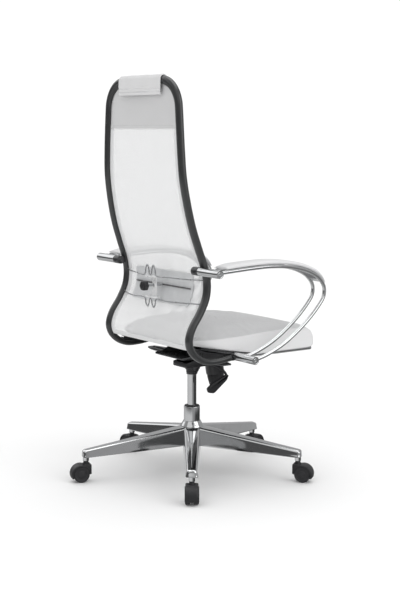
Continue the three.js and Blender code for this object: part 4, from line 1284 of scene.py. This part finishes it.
EDGE_CLEARANCE = 14.2
SHEET_TUCK = 1.1  # how far the sheets reach into the fabric slot


def half_width(z):
    return FRAME_HALF - FRAME_TAPER * ((z - TAPER_START) / TAPER_RISE) ** 2


CORNER_X = half_width(CORNER_Z) - CORNER_RADIUS


def frame_path():
    left = [(half_width(z), y, z) for y, z in SIDE_LINE]
    left += [(x, FRAME_TOP_Y, z) for x, z in arc(CORNER_X, CORNER_Z, CORNER_RADIUS, 0, 90, 6)[1:]]
    left.append((CORNER_X / 2, FRAME_TOP_Y, FRAME_TOP))
    right = [(-x, y, z) for x, y, z in reversed(left)]
    return smooth_line(left + [(0, FRAME_TOP_Y, FRAME_TOP)] + right, 5.0)


def tube_section():
    """Oval section with the fabric slot on its inner side and a fine groove on each face."""
    s = sizes()
    a, b, slot = s.tube_half_width / MM, s.tube_half_depth / MM, s.keder_slot / MM / 2
    section = []
    for angle in np.radians(np.arange(0, 360, 7.5)):
        c, d = math.cos(angle), math.sin(angle)
        u = a * math.copysign(abs(c) ** OVAL_POWER, c)
        v = b * math.copysign(abs(d) ** OVAL_POWER, d)
        groove = max(0.0, 1 - abs(u + GROOVE_AT) / GROOVE_HALF)
        section.append((u, v * (1 - GROOVE_DEPTH * groove)))
    inner = [p for p in section if p[0] < 0 and abs(p[1]) < slot]
    start = section.index(inner[0])
    kept = [p for p in section if p not in inner]
    lips = [(-a + 0.25, slot), (-a + 2.6, slot * 0.8), (-a + 2.6, -slot * 0.8), (-a + 0.25, -slot)]
    return kept[:start] + lips + kept[start:]


def side_points(z0, z1, count, shift=0.0):
    """(y, z) points on the side view line between two heights, moved forward or back by shift."""
    line = smooth_line([(0, y, z) for y, z in SIDE_LINE], 2.0)[:, 1:]
    rising = np.concatenate([[False], np.diff(line[:, 1]) > 0])
    line = line[rising]
    line = line[np.argmin(line[:, 1]):]
    zs = np.linspace(z0, z1, count)
    ys = np.interp(zs, line[:, 1], line[:, 0])
    slope = np.gradient(ys, zs)
    size = np.sqrt(1 + slope ** 2)
    return np.stack([ys + shift / size, zs - shift * slope / size], axis=1)


def sheet_half(z):
    return half_width(z) - EDGE_CLEARANCE + SHEET_TUCK


def make_mesh_back():
    rows = side_points(MESH_BOTTOM, MESH_TOP, 126)
    across = np.linspace(-1, 1, 61)
    points = []
    for y, z in rows:
        push = 2.2 * math.exp(-((z - 588) / 62) ** 2)
        for u in across:
            middle = 1 - abs(u) ** 3
            points.append((u * sheet_half(z), y - push * middle, z))
    sheet = thin_sheet("back_mesh_sheet", points, len(across), 0.0009)
    dress(sheet, finish("mesh"), "seat", ["back_mesh"])
    hems = [hem_strip(f"mesh_hem_{hand}", rows, side) for hand, side in SIDES]
    hems.append(band_piece("mesh_hem_bottom", side_points(MESH_BOTTOM - 0.6, MESH_BOTTOM + 13, 5), 1.9))


def hem_strip(name, rows, side):
    """Doubled mesh along a tube, with a low rounded edge and a line of stitches."""
    wide = sizes().hem_width / MM
    rings = []
    for (y, z), (y2, z2) in zip(rows, np.vstack([rows[1:], 2 * rows[-1] - rows[-2]])):
        outer = sheet_half(z)
        section = rounded(rectangle(outer - wide, outer, -0.85, 0.85), 0.5, 2)
        n = np.array([z2 - z, -(y2 - y)]) / math.hypot(y2 - y, z2 - z)
        rings.append([(side * x, y + v * n[0], z + v * n[1]) for x, v in section])
    strip = piece(name, loft(rings), finish("hem"), "seat", sharp=0)
    line = np.array([(side * (sheet_half(z) - wide + 2.2), y + 0.9, z) for y, z in rows])
    rear_stitches(f"{name}_stitches", line)
    return strip


def band_piece(name, rows, thickness):
    """Doubled mesh across the back, from tube to tube."""
    n = np.gradient(rows, axis=0)
    n /= np.linalg.norm(n, axis=1, keepdims=True)
    front = rows + np.stack([-n[:, 1], n[:, 0]], axis=1) * thickness / 2
    back = rows + np.stack([n[:, 1], -n[:, 0]], axis=1) * thickness / 2
    flat = rounded(list(front) + list(back[::-1]), 0.5, 2)
    half = sheet_half(rows[0][1]) - 0.6
    return piece(name, slab(flat, -half, half, "yz", 0.4), finish("hem"), "seat", sharp=0)


class CHAIR_OT_back(bpy.types.Operator):
    """Makes the lacquered tube frame and the stretched mesh"""
    bl_idname = "chair.back"
    bl_label = "Back"

    def execute(self, context):
        piece("back_frame_tube", sweep(frame_path(), tube_section(), (1, 0, 0)), finish("lacquer"), "seat",
              ["back_frame"], 50)
        make_mesh_back()
        return {"FINISHED"}


# ---- headrest ----------------------------------------------------------------------------------

def make_head_panel():
    r = CORNER_RADIUS - EDGE_CLEARANCE + SHEET_TUCK
    bottom = MESH_TOP + 0.7
    heights = list(np.linspace(bottom, CORNER_Z, 12))
    heights += [CORNER_Z + r * math.sin(a) for a in np.linspace(0.1, math.pi / 2, 16)]
    across = np.linspace(-1, 1, 49)
    points, widths = [], []
    for z in heights:
        half = sheet_half(z) if z <= CORNER_Z else CORNER_X + math.sqrt(max(0.0, r * r - (z - CORNER_Z) ** 2))
        widths.append(2 * half)
        for u in across:
            wave = 0.5 * noise.noise(Vector((u * 3.1, z * 0.02, 4.0))) * (1 - abs(u) ** 4)
            points.append((u * half, FRAME_TOP_Y - 0.2 + wave, z))
    panel = thin_sheet("headrest_panel_sheet", points, len(across), 0.0022)
    dress(panel, finish("panel"), "seat", ["headrest_panel"])
    half = sheet_half(bottom) - 1.4
    front, rear = FRAME_TOP_Y - 1.9, FRAME_TOP_Y + 1.5
    hem = slab(rounded([(front, bottom), (rear, bottom - 0.2), (rear, bottom + 9), (front, bottom + 9)],
                       0.7), -half, half, "yz", 0.5)
    hem_piece = piece("headrest_panel_hem", hem, finish("panel"), "seat", sharp=0)
    line = np.array([(x, rear, bottom + 6.5) for x in np.linspace(-half + 3, half - 3, 40)])
    rear_stitches("headrest_panel_stitches", line)


# rear face of the sleeve as (height, dip): two sewn lines with fuller leather between and above
SLEEVE_DIPS = ((1155.5, 0.0), (1157.2, 1.3), (1158, 1.7), (1158.8, 1.3), (1160.5, 0.0), (1163.5, -0.3),
               (1166, 0.9), (1167, 1.5), (1168, 1.0), (1170.5, -0.3), (1176, -0.7), (1184, -0.4))


def make_sleeve():
    """Leather sleeve folded over the top tube, its two layers sewn together below it behind."""
    inner, thick = 9.75 + 0.5, 3.4
    outer = inner + thick
    top = FRAME_TOP + 13 + 0.5 - inner
    flap, front = 1149.0, 1176.0
    y = FRAME_TOP_Y
    outside = [(y + outer - 1.2, flap), (y + outer - 0.2, 1152)]
    outside += [(y + outer - dip, z) for z, dip in SLEEVE_DIPS]
    outside += arc(y, top, outer, 0, 180, 20)
    outside += [(y - outer, 1184), (y - outer, front)]
    inside = [(y - inner, front), (y - inner, 1184)] + arc(y, top, inner, 180, 0, 18)
    inside += [(y + inner, 1178), (y + inner, flap)]
    outline = np.array(outside + inside)
    soft = len(outside)
    stations = [(1.3, -110), (0.4, -109.6)]  # (how much smaller, from the middle)
    stations += [(0, x) for x in np.linspace(-108.8, 108.8, 64)] + [(0.4, 109.6), (1.3, 110)]
    rings = []
    for shrink, x in stations:
        ring = []
        for k, (py, pz) in enumerate(inset(outline, shrink)):
            lift = 0.0
            if k < soft:
                lift = 0.8 * noise.noise(Vector((x * 0.030, k * 0.16, 1.5))) + 0.35 * noise.noise(
                    Vector((x * 0.11, k * 0.4, 7.0)))
            away = np.array([py - y, pz - min(pz, top)])
            away /= max(np.linalg.norm(away), 1e-6)
            ring.append((x, py + lift * away[0], pz + lift * away[1]))
        rings.append(ring)
    sleeve = piece("headrest_sleeve_wrap", loft(rings), finish("leather"), "seat", ["headrest_sleeve"],
                   0)
    for k, z in enumerate((1158.0, 1167.0)):
        line = np.array([(x, y + outer - 1.4, z) for x in np.linspace(-107, 107, 60)])
        rear_stitches(f"sleeve_stitches_{k + 1}", line, 0.2, 0.32)


def pillow_rings(outline, back, front, flat_share, count=13):
    """Rings over a padded form from the middle of its back to the middle of its front."""
    rings, kinds = [], []
    centre = np.mean(outline, axis=0)
    shares = np.sin(np.linspace(0.06, math.pi / 2, count))
    for depth, power, order, kind in ((back, flat_share, shares, "back"),
                                      (front, 7.0, shares[::-1][1:], "front")):
        for s in order:
            rise = depth * (1 - s ** power) ** 0.5
            flat = centre + (outline - centre) * s
            rings.append([(x, rise, z) for x, z in flat])
            kinds.append("seam" if s > 0.999 else kind)
    return rings, kinds


def make_head_cushion():
    low, high = span("headrest_cushion")
    swell_room = sizes().headrest_swell / MM
    corner = 34.0
    left, right = low.x + 3, high.x - 3
    bottom, top = low.z + 3, high.z - 2
    seam_y = FRAME_TOP_Y - 14.5
    outline = spaced(rounded(rectangle(left, right, bottom, top),
                             [corner, corner, corner + 12, corner + 12], 8), 6.5, closed=True)
    rings, kinds = pillow_rings(outline, 12.0, -(seam_y - low.y - swell_room * 0.75), 9.0)
    rings = [[(x, seam_y + rise, z) for x, rise, z in ring] for ring in rings]
    cushion = raw_object("headrest_pillow", loft(rings), sharp=0)
    pins = []
    for kind, ring in zip(kinds, rings):
        pins += [{"back": 1.0, "seam": 0.96, "front": 0.0}[kind]] * len(ring)
    swell(cushion, pins, pressure=3.5, most=sizes().headrest_swell)
    dress(cushion, finish("leather"), "seat", ["headrest_cushion"])
    smooth_cover(cushion)
    count = len(outline)
    at = kinds.index("seam") * count
    line = points_of(cushion)[at:at + count]
    piping("headrest_piping", np.vstack([line, line[:2]]), 1.7, 10, (0, 1, 0))


class CHAIR_OT_headrest(bpy.types.Operator):
    """Makes the leather panel, the sleeve over the top tube and the head cushion"""
    bl_idname = "chair.headrest"
    bl_label = "Headrest"

    def execute(self, context):
        make_head_panel()
        make_sleeve()
        make_head_cushion()
        return {"FINISHED"}


# ---- arms --------------------------------------------------------------------------------------

ROD_LINE = [(116.8, 654.5), (60, 658), (0, 661), (-60, 662), (-130, 656), (-195, 640), (-236, 618),
            (-257, 590), (-256, 563), (-235, 534), (-186, 488), (-110, 436), (-40, 406.5), (-9.2, 398.5)]
ROD_INNER_X, ROD_OUTER_X = 260.0, 312.0
UPPER_POST = (130.0, 651.0)
LOWER_POST = (4.0, 396.0)
POST_START, POST_END = 225.3, 322.0
PAD_X, PAD_HALF = 285.0, 33.0


def mirrored(skin, side):
    return moved(skin, Matrix.Diagonal((side, 1, 1, 1)))


def make_rods(hand, side):
    radius = sizes().rod_radius / MM
    line = smooth_line([(0, y, z) for y, z in [(118.6, 654.3)] + ROD_LINE[1:-1] + [(-7.4, 398.2)]], 5.0)
    for name, x in (("inner", ROD_INNER_X), ("outer", ROD_OUTER_X)):
        piece(f"arm_rod_{name}_tube_{hand}", sweep(line + (side * x, 0, 0), circle(radius, 24), (1, 0, 0)),
              finish("chrome"), "seat", [f"arm_rod_{name}_{hand}"], 60)


def post_skin():
    """Closed post with a recessed end that holds a socket screw, drawn up the Z axis."""
    r = sizes().post_radius / MM
    head = POST_END - 1.4
    return turned_solid([(AXIS, POST_START), (r, POST_START), (r, POST_END), (r - 2, POST_END),
                         (r - 2.4, head), (6, head), (5.6, head + 1), (3, head + 1), (2.8, head - 2.4),
                         (AXIS, head - 2.4)], 0.5, 3, 40)


def make_posts(hand, side):
    for name, (y, z) in (("upper", UPPER_POST), ("lower", LOWER_POST)):
        piece(f"{name}_post_tube_{hand}", mirrored(along_x(post_skin(), y, z), side), finish("chrome"),
              "seat", [f"{name}_arm_post_{hand}"], 35)
    y, z = UPPER_POST
    tube_x = half_width(z)
    barrel = along_x(round_rod(12.5, tube_x - 17, 225, 1.8, 36), y, z)
    saddle = slab(rounded([(112.4, z - 11), (117.2, z + 11), (y + 2, z + 11), (y + 2, z - 11)], 1.5),
                  tube_x - 9, tube_x + 9, "yz", 1.4)
    screw = moved(turned_solid([(AXIS, 0), (5, 0), (5, 2.4), (3, 2.4), (2.6, 1), (AXIS, 1)], 0.4, 2, 24),
                  to_rear(tube_x, y + 12.0, z))
    piece(f"upper_stub_barrel_{hand}", mirrored(together(barrel, saddle, screw), side), finish("enamel"),
          "seat", [f"upper_arm_stub_{hand}"], 38)


def pad_line():
    line = smooth_line([(0, y, z) for y, z in ROD_LINE], 4.0)[:, 1:]
    run = np.linspace(0, 1, len(line))
    kept = line[(line[:, 0] < 104) & (line[:, 1] > 598) & (run < 0.6)]
    ahead = np.gradient(kept, axis=0)
    ahead /= np.linalg.norm(ahead, axis=1, keepdims=True)
    return kept, np.stack([ahead[:, 1], -ahead[:, 0]], axis=1)


def pad_taper(t):
    """Width and height as shares of the full pad; t runs from 0 at its rear to 1 at its front."""
    front = max(0.0, (t - 0.86) / 0.14)
    back = max(0.0, (0.10 - t) / 0.10)
    wide = (1 - 0.14 * front ** 2.4) * (1 - 0.08 * back ** 2)
    tall = (1 - 0.50 * front ** 3) * (1 - 0.45 * back ** 1.5)
    return wide, tall


def make_pad(hand, side):
    """Crowned pad sewn along its sides, lying on both rods and tapering round the front."""
    line, rise = pad_line()
    rod, thick = sizes().rod_radius / MM, sizes().pad_thickness / MM
    low, seam, top = rod + 0.9, rod + 5.6, rod + thick - 1.6
    half = PAD_HALF - 2.0
    flat = rounded([(-half + 4, low), (half - 4, low), (half, low + 2.6), (half, seam),
                    (half - 2.5, top - 2.6), (half * 0.62, top), (-half * 0.62, top),
                    (-half + 2.5, top - 2.6), (-half, seam), (-half, low + 2.6)], 3.0, 4)
    flat = spaced(flat, 3.6, closed=True)
    tapers = [pad_taper(t / (len(line) - 1)) for t in range(len(line))]

    def place(i, x, h):
        wide, tall = tapers[i]
        lift = low + (h - low) * tall
        return side * (PAD_X + x * wide), line[i][0] + rise[i][0] * lift, line[i][1] + rise[i][1] * lift

    rings = [[place(i, x, h) for x, h in flat] for i in range(len(line))]
    pins = [1.0 if h < low + 1.2 else 0.92 if abs(h - seam) < 1.2 and abs(x) > half - 2.5 else 0.0
            for x, h in flat] * len(line)
    pad = raw_object(f"arm_pad_cover_{hand}", loft(rings), sharp=0)
    swell(pad, pins, pressure=2.5, most=0.0022, frames=14)
    dress(pad, finish("leather"), "seat", [f"arm_pad_{hand}"])
    smooth_cover(pad)
    for name, edge in (("near", 1), ("far", -1)):
        points = [place(i, edge * (half + 0.3), seam) for i in range(len(line))]
        piping(f"arm_pad_piping_{hand}_{name}", points, 1.1, 8, (0, 0, 1))


class CHAIR_OT_arms(bpy.types.Operator):
    """Makes the bent chrome rods, the posts and the padded arm rests"""
    bl_idname = "chair.arms"
    bl_label = "Arms"

    def execute(self, context):
        for hand, side in SIDES:
            make_rods(hand, side)
            make_posts(hand, side)
            make_pad(hand, side)
        return {"FINISHED"}


# ---- lumbar support ----------------------------------------------------------------------------

PLATE_HALF, PLATE_LOW, PLATE_HIGH = 150.0, 538.0, 638.0
PLATE_BEHIND = 4.0
SCREW_Z = 592.0
UPPER_WIRE_Z, LOWER_WIRE_Z = 622.0, 554.0
WIRE_Y = 150.0


def make_lumbar_plate():
    corner = 12.0
    rows = side_points(PLATE_LOW + 1.5, PLATE_HIGH - 1.5, 34, PLATE_BEHIND)
    middle, tall = (PLATE_LOW + PLATE_HIGH) / 2, (PLATE_HIGH - PLATE_LOW) / 2
    points = []
    across = np.linspace(-1, 1, 49)
    for y, z in rows:
        past = max(0.0, abs(z - middle) - (tall - corner))
        half = PLATE_HALF - corner + math.sqrt(max(0.0, corner ** 2 - past ** 2))
        points += [(u * half, y, z) for u in across]
    plate = thin_sheet("lumbar_plate_sheet", points, len(across), 0.0024)
    plate.data.set_sharp_from_angle(angle=math.radians(40))
    dress(plate, finish("frosted"), "lumbar_pad", ["lumbar_plate"])


def wire_skin(hook_y, hook_z, loop):
    hook_x = half_width(hook_z) - 13.7
    up = math.copysign(1, loop)
    half = [(hook_x, hook_y, hook_z), (PLATE_HALF, hook_y + 24, hook_z), (90, hook_y + 39, hook_z)]
    half += [(x, WIRE_Y, hook_z + rise) for x, rise in (
        (34, 0), (27, 4 * up), (25, loop * 0.6), (16, loop), (8, loop * 0.6), (5.5, 5 * up))]
    knots = half + [(0, WIRE_Y, hook_z + up)] + [(-x, y, z) for x, y, z in reversed(half)]
    return sweep(smooth_line(knots, 2.5), circle(sizes().wire_radius / MM, 12), (0, 0, 1))


def make_lumbar_bracket():
    face = 134.0
    plate = slab(rounded(rectangle(-11, 11, LOWER_WIRE_Z + 3, UPPER_WIRE_Z - 3), 3), face, face + 3, "xz",
                 0.8)
    tab = rounded(rectangle(-30, 30, face, WIRE_Y + 2), 5)
    tabs = [slab(tab, z, z + 3, "xy", 0.8) for z in (UPPER_WIRE_Z - 5.4, LOWER_WIRE_Z + 2.4)]
    ring = moved(turned_ring(rectangle(4.8, 8.5, 0, 3.4), 0.5, 2, 28), to_rear(0, face + 2.6, SCREW_Z))
    # the bright finish paints the chrome bracket's white reflection into its colour
    piece("lumbar_bracket_plate", together(plate, *tabs, ring), finish("bright"), "seat", ["lumbar_bracket"],
          38)


def make_lumbar_knob():
    """Six-lobed hand knob with a dished face."""
    lobes, segments = 6, 96
    angles = np.linspace(0, 2 * math.pi, segments, endpoint=False)
    rings = []
    for r, z in rounded([(AXIS, 162.5), (11, 162.5), (14.6, 165), (15, 177), (13, 180.6), (9, 180.8),
                         (7, 179), (AXIS, 179)], 1.0, 3, closed=False):
        share = max(0.0, min(1.0, (r - 6) / 8))
        radius = r - 1.3 * share * (0.5 - 0.5 * np.cos(lobes * angles))
        rings.append(np.stack([radius * np.cos(angles), radius * np.sin(angles),
                               np.full(segments, float(z))], axis=1))
    piece("lumbar_grip", moved(loft(rings), to_rear(0, 0, SCREW_Z)), finish("plastic"), "lumbar_knob",
          ["lumbar_knob"])


class CHAIR_OT_lumbar(bpy.types.Operator):
    """Makes the lumbar plate, its wires, bracket and hand knob"""
    bl_idname = "chair.lumbar"
    bl_label = "Lumbar Support"

    def execute(self, context):
        make_lumbar_plate()
        for name, y, z, loop in (("upper", 101, UPPER_WIRE_Z, 31), ("lower", 114, LOWER_WIRE_Z, -26)):
            piece(f"{name}_wire", wire_skin(y, z, loop), finish("steel"), "seat", [f"lumbar_wire_{name}"],
                  60)
        make_lumbar_bracket()
        make_lumbar_knob()
        return {"FINISHED"}


# ---- small metal parts -------------------------------------------------------------------------

SMALL_PARTS = {
    "thrust_bearing": "steel", "piston_rod": "steel", "release_pin": "steel", "tilt_pivot_pin": "steel",
    "tension_spring": "steel", "lumbar_bar": "enamel", "lumbar_screw": "steel", "seat_pan": "enamel",
    "arm_pad_plate_left": "grey_paint", "arm_pad_plate_right": "grey_paint",
}


class CHAIR_OT_small_parts(bpy.types.Operator):
    """Finishes the pins, spring, bearing and plates that keep their frame shape"""
    bl_idname = "chair.small_parts"
    bl_label = "Pins and Plates"

    def execute(self, context):
        for node, material in SMALL_PARTS.items():
            part = bpy.data.objects[node]
            for slot in part.material_slots:
                slot.material = finish(material)
            smooth_shaded(part.data)
            part.data.set_sharp_from_angle(angle=math.radians(32))
            edge = part.modifiers.new("Broken edges", "BEVEL")
            edge.width = 0.0004
            edge.segments = 2
            edge.limit_method = "ANGLE"
            edge.angle_limit = math.radians(40)
        return {"FINISHED"}


# ---- panel and run -----------------------------------------------------------------------------

OPERATORS = (CHAIR_OT_stage, CHAIR_OT_base, CHAIR_OT_casters, CHAIR_OT_mechanism, CHAIR_OT_seat,
             CHAIR_OT_back, CHAIR_OT_headrest, CHAIR_OT_arms, CHAIR_OT_lumbar, CHAIR_OT_small_parts)


class CHAIR_PT_tools(bpy.types.Panel):
    """Lists the pieces of the chair, its sizes and its colours"""
    bl_idname = "CHAIR_PT_tools"
    bl_label = "Swivel Chair"
    bl_space_type = "VIEW_3D"
    bl_region_type = "UI"
    bl_category = "Chair"

    def draw(self, context):
        column = self.layout.column()
        for operator in OPERATORS:
            column.operator(operator.bl_idname)
        for group in (context.scene.chair_sizes, context.scene.chair_colours):
            box = self.layout.box()
            for name in group.__annotations__:
                box.prop(group, name)


CLASSES = (ChairSizes, ChairColours, *OPERATORS, CHAIR_PT_tools)


def register():
    for cls in CLASSES:
        bpy.utils.register_class(cls)
    bpy.types.Scene.chair_sizes = PointerProperty(type=ChairSizes)
    bpy.types.Scene.chair_colours = PointerProperty(type=ChairColours)


def unregister():
    del bpy.types.Scene.chair_colours
    del bpy.types.Scene.chair_sizes
    for cls in reversed(CLASSES):
        bpy.utils.unregister_class(cls)


def main():
    register()
    for build in (bpy.ops.chair.stage, bpy.ops.chair.base, bpy.ops.chair.casters, bpy.ops.chair.mechanism,
                  bpy.ops.chair.seat, bpy.ops.chair.back, bpy.ops.chair.headrest, bpy.ops.chair.arms,
                  bpy.ops.chair.lumbar, bpy.ops.chair.small_parts):
        build()


if __name__ == "__main__":
    main()
